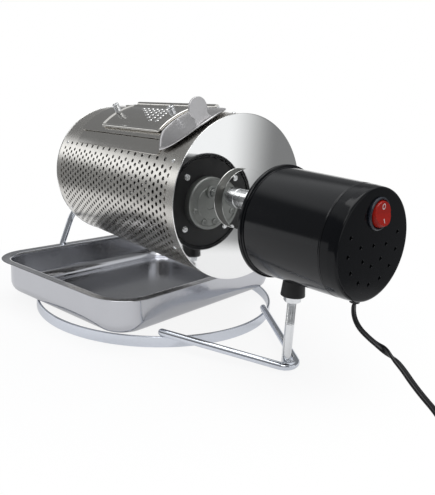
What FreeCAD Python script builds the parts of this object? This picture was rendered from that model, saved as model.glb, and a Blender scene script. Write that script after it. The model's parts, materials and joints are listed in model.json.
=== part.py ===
"""Countertop coffee bean roaster: a perforated drum with a hinged lid, turned by a gearmotor.

Millimetres.  The origin is the centre of the base ring on the surface it stands on, +X runs
along the drum's axis from the free end to the motor, and +Z is up.  Angles round the drum
count from its top towards -Y.
"""
import FreeCAD
import Part
import math
import os
import re

# Every driving size, written once: name, value, what it is.
SIZES = (
    # stand
    ("ring_radius", 130.8, "base ring, outside"),
    ("ring_wall", 2.5, "base ring, thickness of the band"),
    ("ring_height", 10.6, "base ring, height of the band"),
    ("stand_rod_radius", 3.5, "wire of the outrigger and the axle support"),
    ("weld_sink", 0.3, "depth that welded wires melt into each other"),
    ("outrigger_spread", 29.0, "degrees from +X to where an outrigger leg meets the ring"),
    ("outrigger_overhang", 4.0, "leg past the middle of the ring's band"),
    ("outrigger_height", 7.3, "middle of the wire at the apex"),
    ("outrigger_bend", 12.0, "bend at the apex, middle of the wire"),
    ("post_radius", 4.0, "threaded motor post"),
    ("post_inset", 22.0, "housing lip to the middle of the post"),
    ("post_gap", 1.8, "top of the post under the housing"),
    ("nut_wall", 2.5, "lock nut, post to its flats"),
    ("nut_height", 5.2, "lock nut"),
    ("boss_height", 12.6, "post boss between nut and housing"),
    ("boss_foot_wall", 4.0, "post boss outside the insert, at the nut"),
    ("boss_neck_wall", 2.6, "post boss outside the insert, at the housing"),
    ("boss_reach", 5.0, "boss past the lip's round, before it is cut to the housing"),
    ("insert_wall", 2.4, "threaded insert in the boss"),
    ("thread_gap", 0.05, "post to insert and nut"),
    ("wire_foot_turn", 212.2, "degrees from +X to the foot of the axle support"),
    ("wire_lift", 0.5, "foot of the axle support above the table"),
    ("wire_rise", 3.4, "its upright stretch past the top of the ring"),
    ("wire_bend", 16.0, "its bends, middle of the wire"),
    ("wire_clearance", 2.6, "wire to the tray's rim"),
    ("wire_place", -34.2, "where the wire passes the rim, along it"),
    ("knee_across", 49.0, "knee of the wire in front of the drum axis"),
    ("knee_below", 60.1, "knee of the wire below the drum axis"),
    ("knee_inset", 1.0, "knee of the wire, from the plane of the eye"),
    ("eye_turn", 290.0, "degrees of wire round the far axle"),
    ("eye_gap", 0.2, "wire eye to the far axle"),
    # drum
    ("drum_clearance", 15.0, "drum above the tray's rim"),
    ("drum_radius", 75.0, "perforated shell, outside"),
    ("drum_wall", 1.0, "perforated shell"),
    ("drum_near", 133.5, "outer face of the motor side end plate"),
    ("drum_far", -103.6, "outer face of the far end plate"),
    ("plate_wall", 1.0, "end plates"),
    ("plate_lip", 0.4, "end plate past the shell"),
    ("skirt_depth", 18.0, "end plate skirt inside the shell"),
    ("skirt_gap", 0.05, "skirt to shell"),
    ("rivet_radius", 1.7, "heads of the small rivets"),
    ("rivet_tip", 0.95, "rivet heads at their top"),
    ("rivet_head", 0.9, "height of the rivet heads"),
    ("rivet_seat", 0.01, "flat rivet heads above the round shell"),
    ("rivet_inset", 13.2, "end plate face to its rivets"),
    ("rivet_angle", 64.0, "degrees round the drum of the first rivet"),
    ("hub_radius", 27.8, "hub dish on the motor side"),
    ("hub_height", 5.5, "hub dish, proud of the end plate"),
    ("hub_wall", 1.2, "hub dish"),
    ("socket_wall", 5.0, "drive socket round the shaft"),
    ("socket_length", 24.5, "drive socket from the end plate"),
    ("shaft_radius", 4.0, "output shaft and far axle"),
    ("shaft_gap", 0.05, "running fit of shaft and axle"),
    ("shaft_inset", 7.5, "end plate to the end of the output shaft"),
    ("shaft_depth", 15.0, "output shaft inside the gearbox"),
    ("set_screw_radius", 2.0, "screw that locks the socket on the shaft"),
    ("set_screw_inset", 6.0, "socket's end to the screw"),
    ("set_screw_length", 4.4, "screw that locks the socket"),
    ("axle_inside", 6.0, "far axle inside the end plate"),
    ("axle_past", 4.9, "far axle past its collar"),
    ("axle_flange_radius", 14.0, "welded flange of the far axle"),
    ("axle_flange_wall", 2.0, "welded flange of the far axle"),
    ("axle_nut_wall", 1.0, "nut behind the flange, axle to its flats"),
    ("axle_nut_height", 4.0, "nut behind the flange"),
    ("collar_wall", 2.8, "retaining collar of the far axle"),
    ("collar_length", 4.0, "retaining collar"),
    ("collar_gap", 0.6, "collar to the wire eye"),
    ("support_gap", 14.9, "axle flange to the wire eye"),
    ("vane_height", 17.0, "stirring vanes, towards the axis"),
    ("vane_wall", 1.2, "stirring vanes"),
    ("vane_margin", 16.0, "vane end to end plate"),
    # lid, hinged on the drum
    ("lid_middle", 30.0, "degrees round the drum of the middle of the lid"),
    ("mouth_width", 36.0, "loading mouth across"),
    ("mouth_start", -34.0, "loading mouth, far end"),
    ("mouth_end", 72.0, "loading mouth, motor end"),
    ("mouth_block", 20.0, "half the height of the block that cuts the mouth"),
    ("frame_front", 62.5, "degrees of the front edge of the saddle"),
    ("frame_back", -14.0, "degrees of the back edge of the saddle"),
    ("frame_start", -65.0, "saddle, far end"),
    ("frame_end", 95.6, "saddle, motor end"),
    ("sheet_wall", 1.0, "saddle, lid and pull plate sheet"),
    ("frame_seat", 0.05, "saddle above the shell"),
    ("seat_gap", 0.5, "lid sheet above the saddle"),
    ("panel_front", 51.0, "degrees of the front edge of the lid panel"),
    ("panel_back", 0.0, "degrees of its back edge"),
    ("panel_start", -70.0, "lid panel, far end"),
    ("panel_end", 103.0, "lid panel, motor end"),
    ("cover_half_angle", 17.0, "raised cover, each side of the lid's middle"),
    ("cover_start", -28.0, "raised cover, far end"),
    ("cover_end", 82.0, "raised cover, motor end"),
    ("cover_height", 3.2, "raised cover above the lid panel"),
    ("pull_start", 84.0, "pull plate, far end"),
    ("pull_front", 60.0, "degrees of the front corner of the pull plate"),
    ("pull_round", 39.2, "round end of the pull plate"),
    ("pull_centre", 88.0, "centre of the round end"),
    ("tab_angle", 32.5, "degrees of the finger tab"),
    ("tab_place", 124.0, "finger tab along the drum"),
    ("tab_neck", 15.0, "finger tab, width at its foot"),
    ("tab_radius", 9.5, "finger tab, round top"),
    ("tab_height", 21.85, "finger tab above the middle of the pull plate's sheet"),
    ("tab_wall", 1.5, "finger tab"),
    ("stud_radius", 1.9, "screws that hold the cover"),
    ("stud_height", 7.0, "cover screws above the cover"),
    ("stud_head", 1.6, "heads of the cover screws"),
    ("far_stud_inset", 4.5, "cover's far end to its screw"),
    ("near_stud_inset", 4.0, "cover's motor end to its screw"),
    ("spring_radius", 3.3, "springs on the cover screws"),
    ("hinge_angle", -4.0, "degrees of the hinge axis round the drum"),
    ("knuckle_radius", 3.0, "hinge knuckles"),
    ("pin_radius", 1.4, "hinge pin"),
    ("pin_gap", 0.05, "hinge pin to the moving knuckles"),
    ("hinge_start", -58.5, "hinge, far end"),
    ("knuckle_length", 28.0, "each of the five knuckles"),
    ("knuckle_gap", 0.4, "between knuckles"),
    ("knuckle_lift", 0.55, "knuckles above the saddle"),
    ("leaf_rib", 2.0, "rib under each fixed knuckle"),
    ("leaf_lap", 2.0, "tongue of each moving knuckle on the lid"),
    ("leaf_front", 9.0, "degrees of the front edge of the lid leaf"),
    # motor housing
    ("motor_drop", 11.4, "motor axis below the drum axis"),
    ("motor_gap", 50.0, "end plate to the housing's front lip"),
    ("housing_length", 78.5, "front lip to the seam of the rear cap"),
    ("cap_length", 13.8, "seam to the face of the rear cap"),
    ("lip_proud", 2.0, "front lip past the housing"),
    ("lip_length", 3.2, "front lip"),
    ("front_radius", 46.0, "housing behind its lip"),
    ("seam_radius", 43.2, "housing at the seam"),
    ("cap_radius", 41.6, "rear cap at its face"),
    ("cap_round", 3.0, "rounded edge of the rear cap"),
    ("housing_wall", 2.0, "housing and cap"),
    ("fit_gap", 0.1, "plate, spigot and switch in their seats"),
    ("plate_recess", 1.2, "front plate behind the lip"),
    ("front_plate_wall", 3.0, "front plate"),
    ("spigot_depth", 6.0, "rear cap spigot inside the housing"),
    ("spigot_lap", 3.0, "spigot inside the cap"),
    ("gearbox_radius", 26.0, "gearbox"),
    ("gearbox_proud", 6.5, "gearbox face in front of the lip"),
    ("gearbox_length", 26.0, "gearbox"),
    ("gearbox_flange", 2.0, "flange behind the front plate"),
    ("flange_lip", 0.8, "flange past the gearbox"),
    ("nose_length", 2.5, "bearing nose round the shaft"),
    ("nose_wall", 2.5, "bearing nose"),
    ("core_gap", 1.0, "screw bosses to the gearbox"),
    ("motor_radius", 24.0, "motor can"),
    ("motor_length", 25.0, "motor can"),
    ("screw_square", 50.0, "pitch of the four front screws"),
    ("screw_head_radius", 3.1, "front screws"),
    ("screw_head_height", 1.8, "front screws"),
    ("screw_radius", 1.5, "front screw shanks"),
    ("screw_length", 11.0, "front screw shanks"),
    ("ear_length", 9.0, "screw bosses behind the front plate"),
    ("ear_inset", 1.24, "screw bosses short of the outside of the housing"),
    ("vent_radius", 1.4, "vent holes in the rear cap"),
    ("vent_inner", 15.2, "inner row of vents"),
    ("inner_step", 45.0, "degrees between the inner vents"),
    ("vent_outer", 29.0, "outer row of vents"),
    ("outer_step", 26.5, "degrees between the outer vents"),
    # switch
    ("switch_height", 23.2, "switch above the motor axis"),
    ("bezel_lip", 1.1, "switch bezel past its barrel"),
    ("bezel_height", 2.2, "switch bezel, proud of the cap"),
    ("barrel_wall", 1.0, "switch barrel"),
    ("barrel_length", 9.0, "switch barrel behind the cap's face"),
    ("rocker_radius", 9.6, "rocker"),
    ("rocker_gap", 0.3, "rocker to bezel"),
    ("pivot_sink", 1.4, "rocker's pivot behind the bezel's face"),
    ("trunnion_radius", 0.8, "rocker's pivot pins"),
    ("trunnion_depth", 0.7, "pivot pins into the barrel's wall"),
    ("rocker_tilt", 10.0, "degrees the rocker leans at rest"),
    ("rocker_depth", 3.0, "rocker below its pivot"),
    ("rocker_dish", 3.0, "middle of the rocker above its pivot"),
    ("barrel_depth", 20.0, "switch body behind the cap's face"),
    ("terminal_length", 6.0, "switch terminals"),
    ("terminal_wall", 1.0, "switch terminals"),
    ("terminal_width", 5.0, "switch terminals"),
    ("terminal_pitch", 4.0, "between switch terminals"),
    ("block_length", 12.0, "terminal block"),
    ("block_width", 18.0, "terminal block"),
    ("block_height", 6.0, "terminal block"),
    ("block_setback", 8.0, "terminal block to the seam"),
    ("block_lift", 0.2, "terminal block's edges above the housing wall"),
    # tray
    ("tray_turn", 12.0, "degrees that the tray sits turned on the ring"),
    ("tray_left", -124.9, "rim, far end, in the tray's own axes"),
    ("tray_right", 89.5, "rim, motor end"),
    ("tray_front", -134.1, "rim, front"),
    ("tray_back", 134.1, "rim, back"),
    ("tray_rim_height", 48.2, "top of the rim above the table"),
    ("tray_rim_width", 9.0, "flat rim"),
    ("tray_wall", 1.0, "tray sheet"),
    ("tray_corner", 30.0, "rim corner in plan"),
    ("tray_fillet", 15.0, "between wall and floor"),
    ("tray_lift", 0.2, "tray floor above the ring"),
    # cord
    ("cord_radius", 2.7, "half the width of the flat twin cord"),
    ("gland_inset", 4.0, "seam to the middle of the cord exit"),
    ("gland_proud", 2.6, "gland below the cap"),
    ("gland_depth", 4.0, "gland inside the cap"),
    ("gland_radius", 3.9, "gland"),
    ("hank_x", 402.0, "middle of the hank"),
    ("hank_y", 62.0, "middle of the hank"),
    ("hank_half_run", 40.5, "middle of the hank to its fold centres"),
    ("hank_fold", 22.0, "outside of the folds"),
    ("hank_waist", 6.0, "half width under the tie"),
    ("hank_height", 12.5, "hank above the table"),
    ("tie_width", 4.0, "tie along the hank"),
    ("tie_wall", 1.2, "tie band"),
    ("tie_slack", 1.0, "tie past the waist"),
    ("plug_length", 36.0, "plug body"),
    ("plug_width", 22.0, "plug body across the blades"),
    ("plug_height", 13.0, "plug body"),
    ("plug_nose", 4.0, "flange at the blades"),
    ("nose_lip", 2.0, "flange past the plug body"),
    ("relief_length", 22.0, "ribbed strain relief"),
    ("relief_tip", 3.4, "strain relief at the cord"),
    ("relief_radius", 4.4, "strain relief at the plug"),
    ("blade_pitch", 12.7, "between the two blades"),
    ("blade_length", 17.0, "blades"),
    ("blade_width", 6.35, "blades"),
    ("blade_wall", 1.5, "blades"),
    ("over_cut", 2.0, "cutting shapes past what they cut"),
)

# Sizes worked out from those above: name, formula, what it is.
WORKED = (
    ("axis_height", "tray_rim_height + drum_clearance + drum_radius", "drum axis above the table"),
    ("motor_height", "axis_height - motor_drop", "motor axis above the table"),
    ("housing_front", "drum_near + motor_gap", "front lip of the housing"),
    ("housing_seam", "housing_front + housing_length", "seam between housing and rear cap"),
    ("housing_back", "housing_seam + cap_length", "face of the rear cap"),
    ("plate_back", "housing_front + plate_recess + front_plate_wall", "back of the front plate"),
    ("gearbox_start", "housing_front - gearbox_proud", "gearbox face"),
    ("gearbox_end", "gearbox_start + gearbox_length", "back of the gearbox"),
    ("lip_radius", "front_radius + lip_proud", "front lip"),
    ("ear_radius", "front_radius - ear_inset - screw_square / sqrt(2)", "screw bosses inside the housing"),
    ("post_x", "housing_front + post_inset", "middle of the motor post"),
    ("post_top", "motor_height - front_radius - post_gap", "top of the motor post"),
    ("boss_foot", "motor_height - front_radius - boss_height", "foot of the post boss"),
    ("insert_radius", "post_radius + insert_wall", "threaded insert in the boss"),
    ("outrigger_reach", "post_x + post_radius + stand_rod_radius - weld_sink", "apex of the outrigger"),
    ("shaft_start", "drum_near + shaft_inset", "drum end of the output shaft"),
    ("socket_radius", "shaft_radius + socket_wall", "drive socket"),
    ("skirt_radius", "drum_radius - drum_wall - skirt_gap", "end plate skirt, outside"),
    ("support_x", "drum_far - axle_flange_wall - support_gap - stand_rod_radius", "plane of the wire eye"),
    ("collar_start", "support_x - stand_rod_radius - collar_gap - collar_length", "outer end of the collar"),
    ("vane_start", "drum_far + skirt_depth + vane_margin", "far end of the vanes"),
    ("frame_outer", "drum_radius + frame_seat + sheet_wall", "top of the saddle"),
    ("panel_inner", "frame_outer + seat_gap", "underside of the lid panel"),
    ("panel_outer", "panel_inner + sheet_wall", "top of the lid panel"),
    ("cover_outer", "panel_outer + cover_height", "top of the raised cover"),
    ("tab_foot", "panel_outer + sheet_wall / 2", "foot of the finger tab, half way into the plate's sheet"),
    ("hinge_radius", "frame_outer + knuckle_radius + knuckle_lift", "hinge axis from the drum axis"),
    ("hinge_length", "5 * knuckle_length + 4 * knuckle_gap", "the whole hinge"),
    ("barrel_radius", "rocker_radius + rocker_gap + barrel_wall", "switch barrel"),
    ("pivot_x", "housing_back + bezel_height - pivot_sink", "rocker's pivot"),
    ("pivot_reach", "rocker_radius + rocker_gap + trunnion_depth", "end of a pivot pin from the middle"),
    ("gland_x", "housing_seam + gland_inset", "middle of the cord exit"),
    ("gland_bottom", "motor_height - seam_radius - gland_proud", "lower face of the gland"),
)

# The cord's route from the gland to the hank, and from the hank to the plug.
CORD_RUN = (
    (266.0, 0.0, 81.0),
    (266.0, 0.0, 72.0),
    (269.8, 0.0, 63.0),
    (278.5, -0.3, 56.8),
    (291.0, -0.8, 52.8),
    (309.0, -2.0, 46.5),
    (327.0, -4.5, 37.6),
    (346.0, -9.0, 26.0),
    (366.0, -14.0, 12.2),
    (385.0, -16.0, 4.0),
    (401.0, -10.5, 2.7),
    (412.0, 0.5, 2.7),
    (418.0, 13.0, 2.7),
)
CORD_TAIL = (
    (398.0, 121.0, 9.5),
    (385.5, 127.0, 6.5),
    (371.5, 129.0, 2.7),
    (359.0, 123.0, 3.2),
    (352.3, 111.0, 4.8),
    (352.0, 98.0, 6.5),
)

ALONG_X = FreeCAD.Rotation(FreeCAD.Vector(0, 1, 0), 90)
ALONG_Y = FreeCAD.Rotation(FreeCAD.Vector(1, 0, 0), -90)
UPRIGHT = FreeCAD.Rotation()

doc = FreeCAD.newDocument("roaster")
sheet = doc.addObject("Spreadsheet::Sheet", "Sizes")
for row, (alias, number, note) in enumerate(SIZES, start=1):
    sheet.set("A%d" % row, note)
    sheet.set("B%d" % row, repr(number))
    sheet.setAlias("B%d" % row, alias)
doc.recompute()
worked = doc.addObject("App::VarSet", "Worked")
OWNER = {alias: "Sizes." for alias, number, note in SIZES}
OWNER.update({alias: "Worked." for alias, formula, note in WORKED})
nodes = {}


def size(alias):
    """The value of a size, set or worked out."""
    return float(sheet.get(alias) if OWNER[alias] == "Sizes." else getattr(worked, alias))


def rule(text):
    """A formula in aliases, with the name of the object that holds each of them put before it."""
    return re.sub(r"[a-z][a-z_]+", lambda word: OWNER.get(word.group(), "") + word.group(), text)


def bind(piece, **rules):
    """Tie properties of a document object to formulas in the sheet's aliases."""
    for name, text in rules.items():
        piece.setExpression(name, rule(text))
    return piece


def put(piece, x="0", y="0", z="0", turn=UPRIGHT):
    """Turn a piece and tie its place to formulas."""
    piece.Placement = FreeCAD.Placement(FreeCAD.Vector(), turn)
    for axis, text in zip("xyz", (x, y, z)):
        piece.setExpression("Placement.Base." + axis, rule(text))
    return piece


def keep(label, piece):
    """Name a finished sub-part."""
    piece.Label = label
    nodes[label] = piece
    return piece


for alias, formula, note in WORKED:
    worked.addProperty("App::PropertyFloat", alias, "Worked", note)
    worked.setExpression(alias, rule(formula))
doc.recompute()


def cylinder(radius, length, x="0", y="0", z="0", turn=UPRIGHT):
    piece = bind(doc.addObject("Part::Cylinder", "cylinder"), Radius=radius, Height=length)
    return put(piece, x, y, z, turn)


def cone(first, second, length, x="0", y="0", z="0", turn=UPRIGHT):
    piece = bind(doc.addObject("Part::Cone", "cone"), Radius1=first, Radius2=second, Height=length)
    return put(piece, x, y, z, turn)


def box(length, width, height, x="0", y="0", z="0", turn=UPRIGHT):
    piece = bind(doc.addObject("Part::Box", "box"), Length=length, Width=width, Height=height)
    return put(piece, x, y, z, turn)


def hexagon(flats, height, x="0", y="0", z="0", turn=UPRIGHT):
    piece = doc.addObject("Part::Prism", "hexagon")
    piece.Polygon = 6
    bind(piece, Circumradius=flats + " / 2 / cos(30)", Height=height)
    return put(piece, x, y, z, turn)


def fuse(*pieces):
    piece = doc.addObject("Part::MultiFuse", "fuse")
    piece.Shapes = list(pieces)
    return piece


def common(*pieces):
    piece = doc.addObject("Part::MultiCommon", "common")
    piece.Shapes = list(pieces)
    return piece


def cut(base, *tools):
    piece = doc.addObject("Part::Cut", "cut")
    piece.Base = base
    piece.Tool = tools[0] if len(tools) == 1 else fuse(*tools)
    return piece


def tube(outer, inner, length, x="0", y="0", z="0", turn=UPRIGHT):
    """A round tube along +Z, or along +X when it is turned so.  The bore runs past both ends."""
    ends = (x + " - over_cut", y, z) if turn is ALONG_X else (x, y, z + " - over_cut")
    bore = cylinder(inner, length + " + 2 * over_cut", *ends, turn=turn)
    return cut(cylinder(outer, length, x, y, z, turn), bore)


def group(label, pieces):
    """Keep several separate solids as one sub-part."""
    piece = doc.addObject("Part::Compound", "group")
    piece.Links = pieces
    return keep(label, piece)


def solid_of(label, shape):
    """A document object for a shape made with Part's own functions."""
    piece = doc.addObject("Part::Feature", label)
    piece.Shape = shape
    return piece


def on_drum(radius, length, start):
    """A cylinder along the drum's axis."""
    return cylinder(radius, length, start, "0", "axis_height", ALONG_X)


def drum_point(radius, angle):
    """Formulas for y and z of a point round the drum, from its radius and angle."""
    return "-(%s) * sin(%s)" % (radius, angle), "axis_height + (%s) * cos(%s)" % (radius, angle)


def spin(angle):
    """A turn about X that carries the drum's top to an angle round it."""
    return FreeCAD.Rotation(FreeCAD.Vector(1, 0, 0), angle)


def worth(text):
    """The number that an alias, or a sum or difference of aliases and numbers, stands for."""
    total, sign = 0.0, 1.0
    for word in text.split():
        if word in "+-":
            sign = 1.0 if word == "+" else -1.0
        else:
            total += sign * (size(word) if word in OWNER else float(word))
    return total


def drum_sheet(inner, outer, front, back, start, end):
    """A strip of curved sheet on the drum, between two angles and two places along it."""
    length = "%s - (%s)" % (end, start)
    wedge = bind(doc.addObject("Part::Cylinder", "wedge"), Radius=outer, Height=length,
                 Angle="%s - (%s)" % (front, back))
    core = on_drum(inner, length + " + 2 * over_cut", start + " - over_cut")
    # The wedge opens from the drum's local zero, which ALONG_X points down at -Z.
    put(wedge, start, "0", "axis_height", spin(180 + worth(back)).multiply(ALONG_X))
    return cut(wedge, core)


def bent_path(points, bend=None):
    """Straight runs joined by tangent arcs.  Without a bend each arc is as large as its runs allow."""
    points = [FreeCAD.Vector(*point) for point in points]
    edges, start, radii = [], points[0], []
    for before, here, after in zip(points, points[1:], points[2:]):
        first, second = here - before, after - here
        half = first.getAngle(second) / 2
        reach = bend * math.tan(half) if bend else 0.45 * min(first.Length, second.Length)
        radii.append(reach / math.tan(half))
        into, out = FreeCAD.Vector(first).normalize(), FreeCAD.Vector(second).normalize()
        near, far = here - into * reach, here + out * reach
        inward = (out - into).normalize()
        middle = here + inward * (radii[-1] * (1 / math.cos(half) - 1))
        edges.append(Part.LineSegment(start, near).toShape())
        edges.append(Part.Arc(near, middle, far).toShape())
        start = far
    edges.append(Part.LineSegment(start, points[-1]).toShape())
    return Part.Wire(edges), radii


SWEEP_TOLERANCE = 0.02
CORNER_STEPS = 12


def swept_rod(label, path, radius):
    """A round rod or cord along a path, checked against its section times its length."""
    first = path.Edges[0]
    begin, tangent = first.valueAt(first.FirstParameter), first.tangentAt(first.FirstParameter)
    section = Part.Wire([Part.makeCircle(radius, begin, tangent)])
    solid = path.makePipeShell([section], True, True)
    expected = math.pi * radius ** 2 * path.Length
    if abs(solid.Volume / expected - 1) > SWEEP_TOLERANCE:
        raise ValueError("%s sweeps to %.0f, not %.0f" % (label, solid.Volume, expected))
    return keep(label, solid_of(label, solid))


# ---- stand ---------------------------------------------------------------------------------


def base_ring():
    keep("base_ring", tube("ring_radius", "ring_radius - ring_wall", "ring_height"))


def outrigger_rod():
    """One wire bent to a V, welded on the ring, with the motor post in its crook."""
    middle = size("ring_radius") - size("ring_wall") / 2
    turn = math.radians(size("outrigger_spread"))
    high = size("ring_height") + size("stand_rod_radius") - size("weld_sink")
    seat = FreeCAD.Vector(middle * math.cos(turn), middle * math.sin(turn), high)
    # The apex of a bend lies inside the corner of its two legs, and their lean depends on the corner.
    corner = size("outrigger_reach")
    for step in range(CORNER_STEPS):
        lean = math.atan2(seat.y, corner - seat.x)
        corner = size("outrigger_reach") + size("outrigger_bend") * (1 / math.sin(lean) - 1)
    drop = (size("outrigger_height") - high) / (size("outrigger_reach") - seat.x)
    leg = FreeCAD.Vector(corner - seat.x, -seat.y, 0)
    back = seat - FreeCAD.Vector(leg).normalize() * size("outrigger_overhang")
    low = high + drop * (corner - seat.x)
    path, radii = bent_path(((back.x, back.y, high), (corner, 0, low), (back.x, -back.y, high)),
                            size("outrigger_bend"))
    swept_rod("outrigger_rod", path, size("stand_rod_radius"))


def motor_post():
    """Threaded post from the outrigger's crook up into the boss under the housing."""
    foot = "outrigger_height - stand_rod_radius"
    keep("motor_post", cylinder("post_radius", "post_top - (%s)" % foot, "post_x", "0", foot))
    nut = hexagon("2 * (post_radius + nut_wall)", "nut_height", "post_x", "0", "boss_foot - nut_height")
    bore = cylinder("post_radius + thread_gap", "nut_height + 2 * over_cut", "post_x", "0",
                    "boss_foot - nut_height - over_cut")
    keep("post_lock_nut", cut(nut, bore))


def post_boss():
    """Tapered boss under the housing, its top cut to the housing's round, with a brass insert."""
    whole = "boss_height + boss_reach"
    through, below = "boss_height + boss_reach + 2 * over_cut", "boss_foot - over_cut"
    body = cone("insert_radius + boss_foot_wall", "insert_radius + boss_neck_wall", whole, "post_x", "0",
                "boss_foot")
    hollow = cylinder("insert_radius", through, "post_x", "0", below)
    keep("post_boss", cut(body, hollow, housing_outside()))
    brass = cylinder("insert_radius - thread_gap", whole, "post_x", "0", "boss_foot")
    bore = cylinder("post_radius + thread_gap", through, "post_x", "0", below)
    keep("boss_insert", cut(brass, bore, housing_outside()))


def axle_support_rod():
    """Wire from the outside of the ring up past the tray to an eye round the far axle."""
    rod = size("stand_rod_radius")
    eye = size("shaft_radius") + size("eye_gap") + rod
    height, plane = size("axis_height"), size("support_x")
    turn = math.radians(size("wire_foot_turn"))
    foot = (size("ring_radius") + rod - size("weld_sink")) * FreeCAD.Vector(math.cos(turn), math.sin(turn), 0)
    beside = FreeCAD.Vector(size("tray_left") - rod - size("wire_clearance"), size("wire_place"), 0)
    past_tray = FreeCAD.Rotation(FreeCAD.Vector(0, 0, 1), size("tray_turn")).multVec(beside)
    past_tray.z = size("tray_rim_height")
    knee = FreeCAD.Vector(plane + size("knee_inset"), -size("knee_across"), height - size("knee_below"))
    # The straight leg runs from the knee to touch the eye on its -Y side.
    away = math.hypot(knee.y, height - knee.z)
    slope = math.atan2(height - knee.z, -knee.y) - math.asin(eye / away)
    touch = (plane, -eye * math.sin(slope), height + eye * math.cos(slope))
    leg, radii = bent_path(((foot.x, foot.y, rod + size("wire_lift")),
                            (foot.x, foot.y, size("ring_height") + size("wire_rise")),
                            tuple(past_tray), tuple(knee), touch), size("wire_bend"))
    ring = []
    for share in (0, 0.5, 1):
        turn = slope + math.radians(90 - share * size("eye_turn"))
        ring.append(FreeCAD.Vector(plane, eye * math.cos(turn), height + eye * math.sin(turn)))
    swept_rod("axle_support_rod", Part.Wire(leg.Edges + [Part.Arc(*ring).toShape()]), rod)


# ---- drum ----------------------------------------------------------------------------------


def drum_shell():
    """The round wall of the drum with the loading mouth cut through it."""
    wall = tube("drum_radius", "drum_radius - drum_wall",
                "drum_near - drum_far - 2 * plate_wall", "drum_far + plate_wall", "0", "axis_height", ALONG_X)
    keep("drum_shell", cut(wall, mouth()))


def mouth():
    """A block through one side of the drum, where the beans go in."""
    y, z = drum_point("drum_radius - mouth_block", "lid_middle")
    half = " - mouth_width / 2 * cos(lid_middle)"
    block = box("mouth_end - mouth_start", "mouth_width", "2 * mouth_block")
    return put(block, "mouth_start", y + half, z + " - mouth_width / 2 * sin(lid_middle)",
               spin(size("lid_middle")))


def end_plate(label, face, inner):
    """A pressed end plate: a disc over the end of the shell and a skirt inside it."""
    disc = on_drum("drum_radius + plate_lip", "plate_wall", inner)
    skirt_start = "drum_near - plate_wall - skirt_depth" if face > 0 else "drum_far + plate_wall"
    ring = on_drum("skirt_radius", "skirt_depth", skirt_start)
    hollow = on_drum("skirt_radius - plate_wall", "skirt_depth", skirt_start)
    skirt = cut(ring, hollow)
    hole = on_drum("shaft_radius + shaft_gap", "plate_wall + 2 * over_cut", inner + " - over_cut")
    keep(label, cut(fuse(disc, skirt), hole))


def end_plates():
    end_plate("motor_side_end_plate", 1, "drum_near - plate_wall")
    end_plate("far_end_plate", -1, "drum_far")


def drum_rivets():
    """Twelve small rivets through the shell and the skirts, six round each end."""
    for label, place in (("motor_side_rivets", "drum_near - rivet_inset"),
                         ("far_side_rivets", "drum_far + rivet_inset")):
        heads = []
        for step in range(0, 360, 60):
            y, z = drum_point("drum_radius + rivet_seat", "rivet_angle + %d" % step)
            heads.append(cone("rivet_radius", "rivet_tip", "rivet_head", place, y, z,
                              spin(size("rivet_angle") + step)))
        group(label, heads)


def hub():
    """Dished hub, drive socket with its set screw, and the gearmotor's output shaft."""
    dish = on_drum("hub_radius", "hub_height", "drum_near")
    hollow = on_drum("hub_radius - hub_wall", "hub_height - hub_wall", "drum_near")
    passage = on_drum("socket_radius + fit_gap", "hub_height + 2 * over_cut", "drum_near - over_cut")
    keep("hub_dish", cut(dish, hollow, passage))
    sleeve = on_drum("socket_radius", "socket_length", "drum_near")
    bore = on_drum("shaft_radius + shaft_gap", "socket_length", "shaft_start - shaft_gap")
    screw_x = "drum_near + socket_length - set_screw_inset"
    tapped = cylinder("set_screw_radius", "socket_radius + over_cut", screw_x, "0", "axis_height")
    keep("drive_socket", cut(sleeve, bore, tapped))
    keep("socket_set_screw", cylinder("set_screw_radius - shaft_gap", "set_screw_length", screw_x, "0",
                                      "axis_height + shaft_radius + shaft_gap"))
    keep("output_shaft", on_drum("shaft_radius", "gearbox_start + shaft_depth - shaft_start", "shaft_start"))


def far_axle():
    """Axle pin with its welded flange, the nut inside the drum and the retaining collar."""
    outer_end = "collar_start - axle_past"
    pin = on_drum("shaft_radius", "drum_far + axle_inside - (%s)" % outer_end, outer_end)
    flange = on_drum("axle_flange_radius", "axle_flange_wall", "drum_far - axle_flange_wall")
    keep("far_axle", fuse(pin, flange))
    nut = hexagon("2 * (shaft_radius + axle_nut_wall)", "axle_nut_height", "drum_far + plate_wall", "0",
                  "axis_height", ALONG_X)
    bore = on_drum("shaft_radius + thread_gap", "axle_nut_height + 2 * over_cut",
                   "drum_far + plate_wall - over_cut")
    keep("axle_nut", cut(nut, bore))
    keep("axle_collar", tube("shaft_radius + collar_wall", "shaft_radius + thread_gap", "collar_length",
                             "collar_start", "0", "axis_height", ALONG_X))


def stirring_vanes():
    """Three flat vanes along the inside of the drum that lift and fold the beans."""
    for label, quarter in (("stir_vane_a", 90), ("stir_vane_b", 180), ("stir_vane_c", 270)):
        angle = "(lid_middle + %d)" % quarter
        y, z = drum_point("skirt_radius - vane_height", angle)
        # The vane is made too tall, and then cut to the round of the shell.
        length = "drum_near - skirt_depth - vane_margin - vane_start"
        vane = box(length, "vane_wall", "vane_height + over_cut")
        put(vane, "vane_start", y + " - vane_wall / 2 * cos%s" % angle,
            z + " - vane_wall / 2 * sin%s" % angle, spin(size("lid_middle") + quarter))
        inside = on_drum("skirt_radius", "drum_near - drum_far", "drum_far")
        keep(label, common(vane, inside))


# ---- lid -----------------------------------------------------------------------------------


def lid_frame():
    """Saddle on the drum round the loading mouth."""
    strip = drum_sheet("drum_radius + frame_seat", "frame_outer", "frame_front", "frame_back", "frame_start",
                       "frame_end")
    keep("lid_frame", cut(strip, mouth()))


def lid_panel():
    """Curved panel over the mouth."""
    keep("lid_panel", drum_sheet("panel_inner", "panel_outer", "panel_front", "panel_back", "panel_start",
                                 "panel_end"))


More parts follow.
